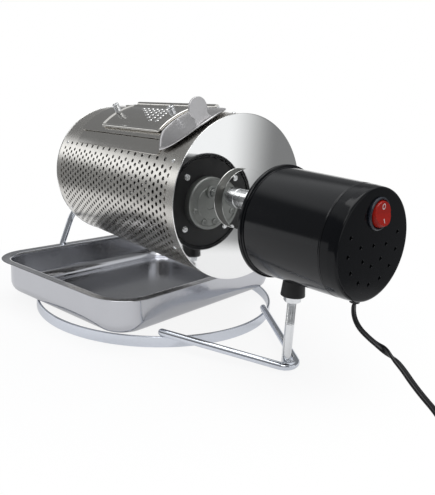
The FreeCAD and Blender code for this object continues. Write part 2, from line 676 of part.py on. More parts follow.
def lid_cover():
    """Raised hollow cover on the panel, one degree of wall at its front and back."""
    front, back = "lid_middle + cover_half_angle", "lid_middle - cover_half_angle"
    shell = drum_sheet("panel_outer", "cover_outer", front, back, "cover_start", "cover_end")
    hollow = drum_sheet("(panel_outer - over_cut)", "cover_outer - sheet_wall", front + " - 1", back + " + 1",
                        "(cover_start + sheet_wall)", "(cover_end - sheet_wall)")
    keep("lid_cover", cut(shell, hollow))


def pull_plate():
    """Plate with a round end past the panel, and the finger tab bent up from it."""
    strip = drum_sheet("panel_outer", "panel_outer + sheet_wall", "pull_front", "panel_back", "pull_start",
                       "(pull_centre + pull_round)")
    y, z = drum_point("drum_radius / 2", "lid_middle")
    rounding = cylinder("pull_round", "drum_radius", "pull_centre", y, z, spin(size("lid_middle")))
    y, z = drum_point("tab_foot", "tab_angle")
    neck = box("tab_wall", "tab_neck", "tab_height - tab_radius")
    put(neck, "tab_place", y + " - tab_neck / 2 * cos(tab_angle)", z + " - tab_neck / 2 * sin(tab_angle)",
        spin(size("tab_angle")))
    y, z = drum_point("tab_foot + tab_height - tab_radius", "tab_angle")
    head = cylinder("tab_radius", "tab_wall", "tab_place", y, z, ALONG_X)
    keep("pull_plate", fuse(common(strip, rounding), neck, head))


def cover_screws():
    """Two screws through the cover, each with a coil spring drawn as a sleeve."""
    screws, springs = [], []
    turn = spin(size("lid_middle"))
    for place in ("cover_start + far_stud_inset", "cover_end - near_stud_inset"):
        y, z = drum_point("cover_outer", "lid_middle")
        shank = cylinder("stud_radius", "stud_height", place, y, z, turn)
        coil = cylinder("spring_radius", "stud_height", place, y, z, turn)
        y, z = drum_point("cover_outer + stud_height", "lid_middle")
        screws.append(fuse(shank, cylinder("spring_radius", "stud_head", place, y, z, turn)))
        y, z = drum_point("cover_outer - over_cut", "lid_middle")
        bore = cylinder("stud_radius + thread_gap", "stud_height + 2 * over_cut", place, y, z, turn)
        springs.append(cut(coil, bore))
    group("cover_screws", screws)
    group("cover_springs", springs)


def hinge():
    """Five knuckles on one pin: three stay with the saddle and two turn with the lid."""
    y, z = drum_point("hinge_radius", "hinge_angle")
    rib_y, rib_z = drum_point("frame_outer", "hinge_angle")
    fixed, moving = [], []
    for count in range(5):
        start = "(hinge_start + %d * (knuckle_length + knuckle_gap))" % count
        knuckle = cylinder("knuckle_radius", "knuckle_length", start, y, z, ALONG_X)
        if count % 2 == 0:
            rib = box("knuckle_length", "leaf_rib", "hinge_radius - frame_outer")
            put(rib, start, rib_y + " - leaf_rib / 2", rib_z, spin(size("hinge_angle")))
            fixed += [knuckle, rib]
        else:
            reach = "leaf_lap - hinge_radius * sin(hinge_angle) - pin_radius"
            tongue = box("knuckle_length", reach, "sheet_wall", start, "-leaf_lap",
                         "axis_height + panel_outer")
            moving += [knuckle, tongue]
    strip = drum_sheet("panel_outer", "panel_outer + sheet_wall", "leaf_front", "panel_back", "hinge_start",
                       "(hinge_start + hinge_length)")
    whole, begin = "hinge_length + 2 * over_cut", "hinge_start - over_cut"
    tight = cylinder("pin_radius", whole, begin, y, z, ALONG_X)
    loose = cylinder("pin_radius + pin_gap", whole, begin, y, z, ALONG_X)
    keep("hinge_drum_leaf", cut(fuse(*fixed), tight))
    keep("hinge_lid_leaf", cut(fuse(strip, *moving), loose))
    keep("hinge_pin", cylinder("pin_radius", whole, begin, y, z, ALONG_X))


# ---- motor housing -------------------------------------------------------------------------

def housing_outside():
    """The tapered outside of the housing as one solid."""
    return cone("front_radius", "seam_radius", "housing_length", "housing_front", "0", "motor_height",
                ALONG_X)


def on_axis(radius, length, start):
    """A cylinder along the motor's axis."""
    return cylinder(radius, length, start, "0", "motor_height", ALONG_X)


def at_screws(radius, length, start):
    """Four cylinders at the front screws, on a square about the motor axis."""
    return [cylinder(radius, length, start, "0 %s screw_square / 2" % side,
                     "motor_height %s screw_square / 2" % level, ALONG_X) for side in "-+" for level in "-+"]


def motor_housing():
    """Tapered shell with a front lip, and four screw bosses behind the front plate."""
    lip = on_axis("lip_radius", "lip_length", "housing_front")
    inside = cone("front_radius - housing_wall", "seam_radius - housing_wall", "housing_length",
                  "housing_front", "0", "motor_height", ALONG_X)
    shell = cut(fuse(housing_outside(), lip), inside)
    ears = fuse(*at_screws("ear_radius", "ear_length", "plate_back"))
    bores = at_screws("screw_radius + thread_gap", "ear_length + 2 * over_cut", "plate_back - over_cut")
    core = on_axis("gearbox_radius + core_gap", "ear_length + 2 * over_cut", "plate_back - over_cut")
    keep("motor_housing", fuse(shell, cut(common(ears, housing_outside()), core, *bores)))


def front_plate():
    """Plate in the housing's mouth that carries the gearbox, and its four screws."""
    start = "housing_front + plate_recess"
    through, before = "front_plate_wall + 2 * over_cut", "housing_front + plate_recess - over_cut"
    taper = "(front_radius - seam_radius) / housing_length * (plate_back - housing_front)"
    disc = on_axis("front_radius - housing_wall - fit_gap - " + taper, "front_plate_wall", start)
    opening = on_axis("gearbox_radius + fit_gap", through, before)
    keep("housing_front_plate", cut(disc, opening, *at_screws("screw_radius + thread_gap", through, before)))
    heads = at_screws("screw_head_radius", "screw_head_height", start + " - screw_head_height")
    shanks = at_screws("screw_radius", "screw_length", start)
    group("front_plate_screws", [fuse(head, shank) for head, shank in zip(heads, shanks)])


def gearmotor():
    """Gearbox with the bore for the output shaft, a flange behind the front plate, and the motor."""
    face = on_axis("gearbox_radius", "gearbox_length", "gearbox_start")
    flange = on_axis("gearbox_radius + flange_lip", "gearbox_flange", "plate_back")
    nose = on_drum("shaft_radius + nose_wall", "nose_length", "gearbox_start - nose_length")
    bore = on_drum("shaft_radius + shaft_gap", "nose_length + shaft_depth + 2 * over_cut",
                   "gearbox_start - nose_length - over_cut")
    keep("gearbox", cut(fuse(face, flange, nose), bore))
    keep("motor_can", on_axis("motor_radius", "motor_length", "gearbox_end"))


def rounded_cap():
    """The outside of the rear cap, with the edge of its face rounded."""
    skin = cone("seam_radius", "cap_radius", "cap_length", "housing_seam", "0", "motor_height", ALONG_X)
    doc.recompute()
    rounded = doc.addObject("Part::Fillet", "rounded")
    rounded.Base = skin
    rounded.Edges = [(number, size("cap_round"), size("cap_round"))
                     for number, edge in enumerate(skin.Shape.Edges, start=1)
                     if edge.Closed and edge.CenterOfMass.x > size("housing_back") - size("cap_round")]
    return rounded


def rear_cap():
    """Domed cap with the vents, the switch hole, the cord hole and a spigot into the housing."""
    inside = cone("seam_radius - housing_wall", "cap_radius - housing_wall", "cap_length - housing_wall",
                  "housing_seam", "0", "motor_height", ALONG_X)
    spigot = tube("seam_radius - housing_wall - fit_gap", "seam_radius - 2 * housing_wall",
                  "spigot_depth + spigot_lap", "housing_seam - spigot_depth", "0", "motor_height", ALONG_X)
    through, start = "housing_wall + 2 * over_cut", "housing_back - housing_wall - over_cut"
    holes = [on_axis("vent_radius", through, start)]
    for radius, step, count in (("vent_inner", "inner_step", 2), ("vent_outer", "outer_step", 4)):
        for place in range(-count, count + 1):
            turn = "(%d * %s)" % (place, step)
            holes.append(cylinder("vent_radius", through, start, "%s * sin%s" % (radius, turn),
                                  "motor_height - %s * cos%s" % (radius, turn), ALONG_X))
    holes.append(cylinder("barrel_radius + fit_gap", through, start, "0", "motor_height + switch_height",
                          ALONG_X))
    exit_hole = cylinder("gland_radius + fit_gap / 2", "gland_proud + gland_depth + over_cut", "gland_x", "0",
                         "gland_bottom")
    keep("housing_rear_cap", cut(fuse(cut(rounded_cap(), inside), spigot), exit_hole, *holes))


def switch():
    """Round rocker switch: bezel and barrel in the cap, body behind, rocker on its pivot."""
    z = "motor_height + switch_height"
    flange = cylinder("barrel_radius + bezel_lip", "bezel_height", "housing_back", "0", z, ALONG_X)
    barrel = cylinder("barrel_radius", "barrel_length", "housing_back - barrel_length", "0", z, ALONG_X)
    opening = cylinder("rocker_radius + rocker_gap", "barrel_length + bezel_height + 2 * over_cut",
                       "housing_back - barrel_length - over_cut", "0", z, ALONG_X)
    bearings = cylinder("trunnion_radius + thread_gap", "2 * (pivot_reach + thread_gap)", "pivot_x",
                        "-pivot_reach - thread_gap", z, ALONG_Y)
    keep("switch_bezel", cut(fuse(flange, barrel), opening, bearings))
    body = cylinder("barrel_radius", "barrel_depth - barrel_length", "housing_back - barrel_depth", "0", z,
                    ALONG_X)
    blades = [box("terminal_length", "terminal_wall", "terminal_width",
                  "housing_back - barrel_depth - terminal_length",
                  "%d * terminal_pitch - terminal_wall / 2" % place, z + " - terminal_width / 2")
              for place in (-1, 0, 1)]
    keep("switch_body", fuse(body, *blades))
    keep("rocker_button", rocker())


def rocker():
    """Rocker on two pivot pins: a ball cut to a shallow V in front and flat behind, leaning at rest."""
    lean = FreeCAD.Rotation(FreeCAD.Vector(0, 1, 0), -size("rocker_tilt"))
    pivot = FreeCAD.Vector(size("pivot_x"), 0, worth("motor_height + switch_height"))
    reach = worth("rocker_radius + over_cut")
    rise = reach * math.tan(math.radians(size("rocker_tilt")))
    dish, depth = size("rocker_dish"), size("rocker_depth")
    corners = ((-depth, -reach), (dish + rise, -reach), (dish, 0), (dish + rise, reach), (-depth, reach))
    outline = Part.makePolygon([FreeCAD.Vector(x, -reach, z) for x, z in corners + corners[:1]])
    block = Part.Face(outline).extrude(FreeCAD.Vector(0, 2 * reach, 0))
    pins = Part.makeCylinder(size("trunnion_radius"), 2 * size("pivot_reach"),
                             FreeCAD.Vector(0, -size("pivot_reach"), 0), FreeCAD.Vector(0, 1, 0))
    piece = solid_of("rocker", block.common(Part.makeSphere(size("rocker_radius"))).fuse(pins))
    piece.Placement = FreeCAD.Placement(pivot, lean)
    return piece


def inside_cap():
    """Terminal block between the cord and the switch, on the housing's inner wall."""
    bed = "sqrt((seam_radius - housing_wall)^2 - (block_width / 2)^2)"
    keep("terminal_block", box("block_length", "block_width", "block_height",
                               "housing_seam - block_setback - block_length", "-block_width / 2",
                               "motor_height + block_lift - " + bed))


# ---- tray ----------------------------------------------------------------------------------


def rounded_block(left, right, front, back, bottom, top, corner, fillet):
    """A block with rounded upright edges and a rounded floor, in the tray's own axes."""
    block = Part.makeBox(right - left, back - front, top - bottom, FreeCAD.Vector(left, front, bottom))
    upright = [edge for edge in block.Edges if abs(edge.tangentAt(edge.FirstParameter).z) > 0.9]
    block = block.makeFillet(corner, upright)
    if fillet:
        floor = [edge for edge in block.Edges if abs(edge.BoundBox.ZMax - bottom) < 0.01]
        block = block.makeFillet(fillet, floor)
    return block


def tray():
    """Pressed tray: a wide rounded pan with a flat rim."""
    left, right = size("tray_left"), size("tray_right")
    front, back = size("tray_front"), size("tray_back")
    rim, wall = size("tray_rim_width"), size("tray_wall")
    bottom, top = size("ring_height") + size("tray_lift"), size("tray_rim_height")
    corner, fillet = size("tray_corner"), size("tray_fillet")
    outer = rounded_block(left + rim, right - rim, front + rim, back - rim, bottom, top, corner - rim, fillet)
    flange = rounded_block(left, right, front, back, top - wall, top, corner, 0)
    skin = rim + wall
    inner = rounded_block(left + skin, right - skin, front + skin, back - skin, bottom + wall,
                          top + size("over_cut"), corner - skin, fillet - wall)
    piece = solid_of("tray", outer.fuse(flange).cut(inner).removeSplitter())
    piece.Placement = FreeCAD.Placement(FreeCAD.Vector(),
                                        FreeCAD.Rotation(FreeCAD.Vector(0, 0, 1), size("tray_turn")))
    keep("tray", piece)


# ---- cord ----------------------------------------------------------------------------------


def cord():
    """Gland, the cord to its hank, the hank with its tie, and the tail to the plug."""
    keep("cord_gland", cylinder("gland_radius", "gland_proud + gland_depth", "gland_x", "0", "gland_bottom"))
    for label, route in (("cord_run", CORD_RUN), ("cord_tail", CORD_TAIL)):
        path, radii = bent_path(route)
        print(label, "length %.0f" % path.Length, "radii", " ".join("%.0f" % radius for radius in radii))
        swept_rod(label, path, size("cord_radius"))
    middle = FreeCAD.Vector(size("hank_x"), size("hank_y"), 0)
    hank = Part.Face(hank_outline()).extrude(FreeCAD.Vector(0, 0, size("hank_height")))
    hank.translate(middle)
    keep("cord_hank", solid_of("cord_hank", hank))
    half = worth("hank_waist + tie_wall + tie_slack")
    band = Part.makeBox(2 * half, size("tie_width"), worth("hank_height + tie_wall"),
                        middle - FreeCAD.Vector(half, size("tie_width") / 2, 0))
    keep("cord_tie", solid_of("cord_tie", band.cut(hank)))


def hank_outline():
    """Outline of the folded cord: two round ends and a waist under the tie, joined by tangents."""
    run, fold, waist = size("hank_half_run"), size("hank_fold"), size("hank_waist")
    turn = math.acos(fold / math.hypot(run, waist)) - math.atan2(run, waist)
    corner = FreeCAD.Vector(fold * math.cos(turn), run + fold * math.sin(turn), 0)
    ends = [FreeCAD.Vector(corner.x * across, corner.y * along, 0)
            for across, along in ((1, 1), (-1, 1), (-1, -1), (1, -1))]
    right, left = FreeCAD.Vector(waist, 0, 0), FreeCAD.Vector(-waist, 0, 0)
    tip = FreeCAD.Vector(0, run + fold, 0)
    edges = (Part.LineSegment(right, ends[0]), Part.Arc(ends[0], tip, ends[1]),
             Part.LineSegment(ends[1], left), Part.LineSegment(left, ends[2]),
             Part.Arc(ends[2], -tip, ends[3]), Part.LineSegment(ends[3], right))
    return Part.Wire([edge.toShape() for edge in edges])


def plug():
    """Two-blade plug lying at the end of the tail, pointing along -Y."""
    x, y, z = ("%g" % number for number in CORD_TAIL[-1])
    relief = cone("relief_tip", "relief_radius", "relief_length", x, y, z,
                  FreeCAD.Rotation(FreeCAD.Vector(1, 0, 0), 90))
    keep("plug_strain_relief", relief)
    back = y + " - relief_length - plug_length"
    nose = back + " - plug_nose"
    low = z + " - plug_height / 2"
    body = box("plug_width", "plug_length", "plug_height", x + " - plug_width / 2", back, low)
    flange = box("plug_width + 2 * nose_lip", "plug_nose", "plug_height",
                 x + " - plug_width / 2 - nose_lip", nose, low)
    keep("plug_body", fuse(body, flange))
    group("plug_blades", [box("blade_wall", "blade_length", "blade_width",
                              "%s %s blade_pitch / 2 - blade_wall / 2" % (x, side), nose + " - blade_length",
                              z + " - blade_width / 2") for side in "-+"])


def write():
    """Check every object and every sub-part, and write one STEP file for each."""
    doc.recompute()
    for piece in doc.Objects:
        if "Invalid" in piece.State or "Error" in piece.State:
            raise ValueError("%s (%s) failed: %s" % (piece.Name, piece.Label, piece.State))
    os.makedirs("parts", exist_ok=True)
    for label, piece in sorted(nodes.items()):
        if piece.Shape.isNull() or not piece.Shape.isValid() or not piece.Shape.Solids:
            raise ValueError("%s has no valid solid" % label)
        piece.Shape.exportStep("parts/%s.step" % label)
        print("%-24s %d solids %9.0f mm3" % (label, len(piece.Shape.Solids), piece.Shape.Volume))


for build in (base_ring, outrigger_rod, motor_post, post_boss, axle_support_rod, drum_shell, end_plates,
              drum_rivets, hub, far_axle, stirring_vanes, lid_frame, lid_panel, lid_cover, pull_plate,
              cover_screws, hinge, motor_housing, front_plate, gearmotor, rear_cap, switch, inside_cap,
              tray, cord, plug):
    build()
write()
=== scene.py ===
"""Looks of the countertop coffee bean roaster: its surfaces, finishes, light and camera.

Shapes are worked out with numpy, whole grids of points at a time, in millimetres and in the part's
own frame: +X along the drum's axis towards the motor, +Z up, the front of the lid towards -Y.
Angles round the drum are in degrees from its top towards -Y.
"""
import json
import math

import bmesh
import bpy
import numpy as np
from mathutils import Matrix, Vector
from mathutils.geometry import tessellate_polygon


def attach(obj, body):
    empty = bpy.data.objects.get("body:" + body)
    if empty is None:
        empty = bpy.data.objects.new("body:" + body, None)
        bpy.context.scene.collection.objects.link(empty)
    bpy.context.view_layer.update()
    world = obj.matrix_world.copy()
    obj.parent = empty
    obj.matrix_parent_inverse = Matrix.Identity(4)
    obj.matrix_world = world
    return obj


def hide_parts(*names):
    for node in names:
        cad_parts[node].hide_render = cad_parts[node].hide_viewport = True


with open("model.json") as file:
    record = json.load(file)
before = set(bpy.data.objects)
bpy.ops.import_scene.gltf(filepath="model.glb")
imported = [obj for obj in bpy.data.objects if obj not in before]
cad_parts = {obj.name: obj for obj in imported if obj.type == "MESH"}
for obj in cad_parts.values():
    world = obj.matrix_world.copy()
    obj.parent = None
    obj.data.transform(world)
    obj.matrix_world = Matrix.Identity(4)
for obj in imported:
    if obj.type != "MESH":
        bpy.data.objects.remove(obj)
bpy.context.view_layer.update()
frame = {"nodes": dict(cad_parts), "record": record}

MM = 0.001
DRUM_Z, MOTOR_Z = 138.2, 126.8
DRUM_AXIS, MOTOR_AXIS = (0, 0, DRUM_Z), (0, 0, MOTOR_Z)
NEAR_FACE, FAR_FACE = 133.5, -103.6  # outer faces of the drum's end plates
SHELL, SHEET = 75.0, 1.0  # the drum's outer radius and the thickness of its sheet
PER_DEGREE = SHELL * math.pi / 180
POST_X = 205.5
TRAY_TURN = 12.0
TRAY_LOW, TRAY_HIGH, TRAY_RIM = (-124.9, -134.1), (89.5, 134.1), 48.2


# ---- surfaces ------------------------------------------------------------------------------
# A surface is its points and a list of arrays of faces, one array for each number of corners.

def grid(points, wrap_rows=False, wrap_columns=False):
    """Faces of a grid of points: each joins (r, c), (r, c+1), (r+1, c+1) and (r+1, c)."""
    index = np.arange(points.shape[0] * points.shape[1]).reshape(points.shape[:2])
    if wrap_rows:
        index = np.vstack([index, index[:1]])
    if wrap_columns:
        index = np.hstack([index, index[:, :1]])
    faces = np.stack([index[:-1, :-1], index[:-1, 1:], index[1:, 1:], index[1:, :-1]], -1)
    return points.reshape(-1, 3), [faces.reshape(-1, 4)]


def join(*surfaces):
    """Several surfaces as one: each one's faces count on from the points before it."""
    starts = np.cumsum([0] + [len(points) for points, faces in surfaces])
    faces = [some + start for (points, many), start in zip(surfaces, starts) for some in many]
    return np.concatenate([points for points, many in surfaces]), faces


def placed(surface, matrix):
    """A surface turned and moved: each point becomes matrix times the point."""
    points, faces = surface
    matrix = np.array(matrix)
    return points @ matrix[:3, :3].T + matrix[:3, 3], faces


def on_drum(along, angle, radius):
    """Points round the drum: x = along, y = -radius sin(angle), z = axis + radius cos(angle)."""
    turn = np.radians(angle)
    return np.stack(np.broadcast_arrays(along, -radius * np.sin(turn), DRUM_Z + radius * np.cos(turn)), -1)


def wrapped(along, round_it, height):
    """Flat plans laid on the drum: millimetres round it become degrees, heights add to the shell."""
    return on_drum(along, round_it / PER_DEGREE, SHELL + height)


def on_tray(across, along, height):
    """Plans in the tray's own axes, which are turned about Z by TRAY_TURN, at their heights."""
    turn = math.radians(TRAY_TURN)
    return np.stack(np.broadcast_arrays(across * math.cos(turn) - along * math.sin(turn),
                                        across * math.sin(turn) + along * math.cos(turn), height), -1)


def softened(corners, radius, steps=5, closed=False):
    """A line of corners with each one rounded.

    Corner C lies between A and B, the points on its two runs at radius times the tangent of half
    its turn, or at 0.48 of the shorter run if that is less.  The arc from A to B is
    ((1-t)^2 A + 2wt(1-t) C + t^2 B) / ((1-t)^2 + 2wt(1-t) + t^2), w the cosine of half the turn.
    """
    corners = np.asarray(corners, float)
    radius = np.broadcast_to(np.asarray(radius, float), len(corners))[:, None]
    before, after = np.roll(corners, 1, 0) - corners, np.roll(corners, -1, 0) - corners
    runs = np.linalg.norm(before, axis=1, keepdims=True), np.linalg.norm(after, axis=1, keepdims=True)
    before, after = before / runs[0], after / runs[1]
    half = 0.5 * np.arccos(np.clip(-(before * after).sum(1, keepdims=True), -1, 1))
    reach = np.minimum(radius * np.tan(half), 0.48 * np.minimum(*runs))
    near, far = corners + before * reach, corners + after * reach
    t = np.linspace(0, 1, steps + 1)[None, :, None]
    weight = np.cos(half)[:, None]
    shares = (1 - t) ** 2, 2 * weight * t * (1 - t), t ** 2
    arcs = (shares[0] * near[:, None] + shares[1] * corners[:, None] + shares[2] * far[:, None]) / sum(shares)
    if closed:
        return arcs.reshape(-1, corners.shape[1])
    return np.concatenate([corners[:1], arcs[1:-1].reshape(-1, corners.shape[1]), corners[-1:]])


def revolved(profile, axis, centre, steps, closed=False):
    """A profile of (along, radius) turned about an axis: the other two coordinates are radius times
    the cosine and the sine of the turn.  A closed profile joins its last point to its first."""
    turn = np.radians(np.linspace(0, 360, steps, endpoint=False))
    along, radius = np.asarray(profile, float).T[:, :, None]
    points = np.stack(np.broadcast_arrays(along, radius * np.cos(turn), radius * np.sin(turn)), -1)
    points = np.roll(points, "xyz".index(axis), -1) + np.asarray(centre, float)
    return grid(points, wrap_rows=closed, wrap_columns=True)


def turned(corners, radii, axis, centre, steps, arc_steps=4):
    """A ring: its section's corners rounded by their radii, closed, and turned about an axis."""
    return revolved(softened(corners, radii, arc_steps, closed=True), axis, centre, steps, closed=True)


def swept(path, section, side, scale=None):
    """A section carried along a path: across is the side made square to the path's tangent, up is
    tangent x across, and a point is path + scale (across s + up u).  Both ends close to a point."""
    path = np.asarray(path, float)
    tangent = np.gradient(path, axis=0)
    tangent /= np.linalg.norm(tangent, axis=1, keepdims=True)
    side = np.broadcast_to(np.asarray(side, float), path.shape)
    across = side - (side * tangent).sum(1, keepdims=True) * tangent
    across /= np.linalg.norm(across, axis=1, keepdims=True)
    up = np.cross(tangent, across)
    scale = np.ones(len(path)) if scale is None else np.asarray(scale, float)
    points = path[:, None] + scale[:, None, None] * (section[None, :, :1] * across[:, None]
                                                     + section[None, :, 1:] * up[:, None])
    ends = np.broadcast_to(path[[0, -1], None], (2,) + points.shape[1:])
    return grid(np.concatenate([ends[:1], points, ends[1:]]), wrap_columns=True)


def domed(path, radius, steps=5):
    """A path with round ends: points at radius sin(a) past each end, where the scale is cos(a)."""
    path = np.asarray(path, float)
    turn = np.linspace(0, math.pi / 2, steps + 1)[1:] * 0.98
    first, last = path[0] - path[1], path[-1] - path[-2]
    first, last = first / np.linalg.norm(first), last / np.linalg.norm(last)
    out = radius * np.sin(turn)[:, None]
    whole = np.concatenate([(path[0] + out * first)[::-1], path, path[-1] + out * last])
    scale = np.concatenate([np.cos(turn)[::-1], np.ones(len(path)), np.cos(turn)])
    return whole, scale


def circle(radius, steps=24):
    """A round section: radius times the cosine and the sine of the turn."""
    turn = np.linspace(0, 2 * math.pi, steps, endpoint=False)
    return radius * np.stack([np.cos(turn), np.sin(turn)], -1)


def rounded_loop(low, high, corner, side_steps=10, corner_steps=5):
    """A rectangle's outline with round corners, always with the same number of points: quarter
    circles about points `corner` in from both sides, and sides divided evenly."""
    turn = np.linspace(0, math.pi / 2, corner_steps + 1)
    middles = np.array([(high[0] - corner, high[1] - corner), (low[0] + corner, high[1] - corner),
                        (low[0] + corner, low[1] + corner), (high[0] - corner, low[1] + corner)])
    turns = turn[None] + np.arange(4)[:, None] * math.pi / 2
    arcs = middles[:, None] + corner * np.stack([np.cos(turns), np.sin(turns)], -1)
    share = np.linspace(0, 1, side_steps + 2)[None, 1:-1, None]
    sides = arcs[:, -1:] + share * (np.roll(arcs, -1, 0)[:, :1] - arcs[:, -1:])
    return np.concatenate([arcs, sides], 1).reshape(-1, 2)


def inset_loops(low, high, corner, levels, least=0.6, **steps):
    """Copies of a rounded rectangle, one for each (inset, height), with corners that shrink alike."""
    return [(rounded_loop((low[0] + inset, low[1] + inset), (high[0] - inset, high[1] - inset),
                          max(corner - inset, least), **steps), height) for inset, height in levels]


def pressed(levels, place, rings=8, open_middle=False):
    """A pressed sheet part: outlines in order, each at its height, filled at both ends with copies
    that shrink in even steps to their middle.  With an open middle the last joins the first."""
    rows = [np.column_stack([loop, np.full(len(loop), height)]) for loop, height in levels]
    share = 1 - np.arange(1, rings + 1)[:, None, None] / rings

    def filled(row):
        middle = (row.min(0) + row.max(0)) / 2
        return middle + (row - middle) * share
    rows = np.array(rows)
    if not open_middle:
        rows = np.concatenate([filled(rows[0])[::-1], rows, filled(rows[-1])])
    return grid(place(rows[..., 0], rows[..., 1], rows[..., 2]), wrap_rows=open_middle, wrap_columns=True)


def piece(name, surface, slot, body, *stands_for, look=None, sharp=35.0):
    """A mesh object: doubles merged, faces turned outwards, smooth where they meet at small angles,
    with normals that follow the larger faces, so that flats beside round edges stay flat.  Its
    finish is its slot's, or another one by name."""
    points, faces = surface
    mesh = bpy.data.meshes.new(name)
    mesh.from_pydata((points * MM).tolist(), [], [face for some in faces for face in some.tolist()])
    work = bmesh.new()
    work.from_mesh(mesh)
    bmesh.ops.remove_doubles(work, verts=work.verts, dist=2e-6)
    bmesh.ops.recalc_face_normals(work, faces=work.faces)
    work.to_mesh(mesh)
    work.free()
    mesh.shade_smooth()
    mesh.set_sharp_from_angle(angle=math.radians(sharp))
    mesh.materials.append(LOOKS[look or slot])
    thing = bpy.data.objects.new(name, mesh)
    bpy.context.scene.collection.objects.link(thing)
    flat = thing.modifiers.new("flats_stay_flat", "WEIGHTED_NORMAL")
    flat.keep_sharp = True
    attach(thing, body)
    if stands_for:
        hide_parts(*stands_for)
    return thing


# ---- finishes ------------------------------------------------------------------------------

def add(tree, kind, links=None, **settings):
    """A shader node with its settings, and its inputs linked to sockets or set to values."""
    made = tree.nodes.new(kind)
    for name, value in settings.items():
        setattr(made, name, value)
    for name, value in (links or {}).items():
        if isinstance(value, bpy.types.NodeSocket):
            tree.links.new(value, made.inputs[name])
        else:
            made.inputs[name].default_value = value
    return made


def maths(tree, operation, *values):
    """The result of a node that does sums on numbers."""
    return add(tree, "ShaderNodeMath", dict(enumerate(values)), operation=operation).outputs[0]


def effect(name, inputs, outputs):
    """An empty shader node group with its sockets, as (tree, its inputs, its output node)."""
    tree = bpy.data.node_groups.new(name, "ShaderNodeTree")
    for label, kind in inputs:
        tree.interface.new_socket(label, in_out="INPUT", socket_type="NodeSocket" + kind)
    for label, kind in outputs:
        tree.interface.new_socket(label, in_out="OUTPUT", socket_type="NodeSocket" + kind)
    return tree, tree.nodes.new("NodeGroupInput").outputs, tree.nodes.new("NodeGroupOutput")


def grain_effect():
    """Fine lines drawn one way: noise on coordinates that are stretched more across than along."""
    tree, given, out = effect("drawn_grain", [("Stretch", "Vector"), ("Depth", "Float")],
                              [("Lines", "Float"), ("Normal", "Vector")])
    place = add(tree, "ShaderNodeTexCoord").outputs["Object"]
    stretched = add(tree, "ShaderNodeVectorMath", {0: place, 1: given["Stretch"]}, operation="MULTIPLY")
    noise = add(tree, "ShaderNodeTexNoise", {"Vector": stretched.outputs[0], "Scale": 1.0, "Detail": 5.0,
                                             "Roughness": 0.65})
    bump = add(tree, "ShaderNodeBump", {"Strength": given["Depth"], "Distance": 0.0002,
                                        "Height": noise.outputs["Fac"]})
    tree.links.new(noise.outputs["Fac"], out.inputs["Lines"])
    tree.links.new(bump.outputs["Normal"], out.inputs["Normal"])
    return tree


def handling_effect():
    """Faint smears where hands and beans touch: broad noise broken up by finer noise."""
    tree, given, out = effect("handling", [("Scale", "Float")], [("Mask", "Float")])
    place = add(tree, "ShaderNodeTexCoord").outputs["Object"]
    broad = add(tree, "ShaderNodeTexNoise", {"Vector": place, "Scale": given["Scale"], "Detail": 3.0,
                                             "Distortion": 0.8})
    fine = add(tree, "ShaderNodeTexNoise", {"Vector": place, "Scale": 260.0, "Detail": 2.0})
    both = maths(tree, "MULTIPLY", broad.outputs["Fac"], fine.outputs["Fac"])
    spread = add(tree, "ShaderNodeMapRange", {"Value": both, "From Min": 0.12, "From Max": 0.42})
    tree.links.new(spread.outputs["Result"], out.inputs["Mask"])
    return tree


def mould_effect():
    """The fine grain of a moulding or casting, as a mask and as a normal."""
    tree, given, out = effect("mould_skin", [("Scale", "Float"), ("Depth", "Float")],
                              [("Mask", "Float"), ("Normal", "Vector")])
    place = add(tree, "ShaderNodeTexCoord").outputs["Object"]
    grain = add(tree, "ShaderNodeTexNoise", {"Vector": place, "Scale": given["Scale"], "Detail": 4.0})
    bump = add(tree, "ShaderNodeBump", {"Strength": given["Depth"], "Distance": 0.0003,
                                        "Height": grain.outputs["Fac"]})
    tree.links.new(grain.outputs["Fac"], out.inputs["Mask"])
    tree.links.new(bump.outputs["Normal"], out.inputs["Normal"])
    return tree


def inner_shade_effect():
    """Mask for painted shade: 1 on the drum's inner faces and 0 on its outer ones, by the distance from its
    axis.
    """
    tree, _, out = effect("painted_shade_inside_drum", [], [("Mask", "Float")])
    place = add(tree, "ShaderNodeTexCoord").outputs["Object"]
    from_axis = add(tree, "ShaderNodeVectorMath", {0: place, 1: (0, 0, -DRUM_Z * MM)}, operation="ADD")
    across = add(tree, "ShaderNodeVectorMath", {0: from_axis.outputs[0], 1: (0, 1, 1)}, operation="MULTIPLY")
    away = add(tree, "ShaderNodeVectorMath", {0: across.outputs[0]}, operation="LENGTH").outputs["Value"]
    tree.links.new(maths(tree, "LESS_THAN", away, (SHELL - 0.3) * MM), out.inputs["Mask"])
    return tree


GRAIN, HANDLING, SKIN, INNER_SHADE = grain_effect(), handling_effect(), mould_effect(), inner_shade_effect()


def colour_sockets(sockets):
    """A mix node's sockets for colours, without those for numbers and vectors."""
    return [one for one in sockets if one.type == "RGBA"]


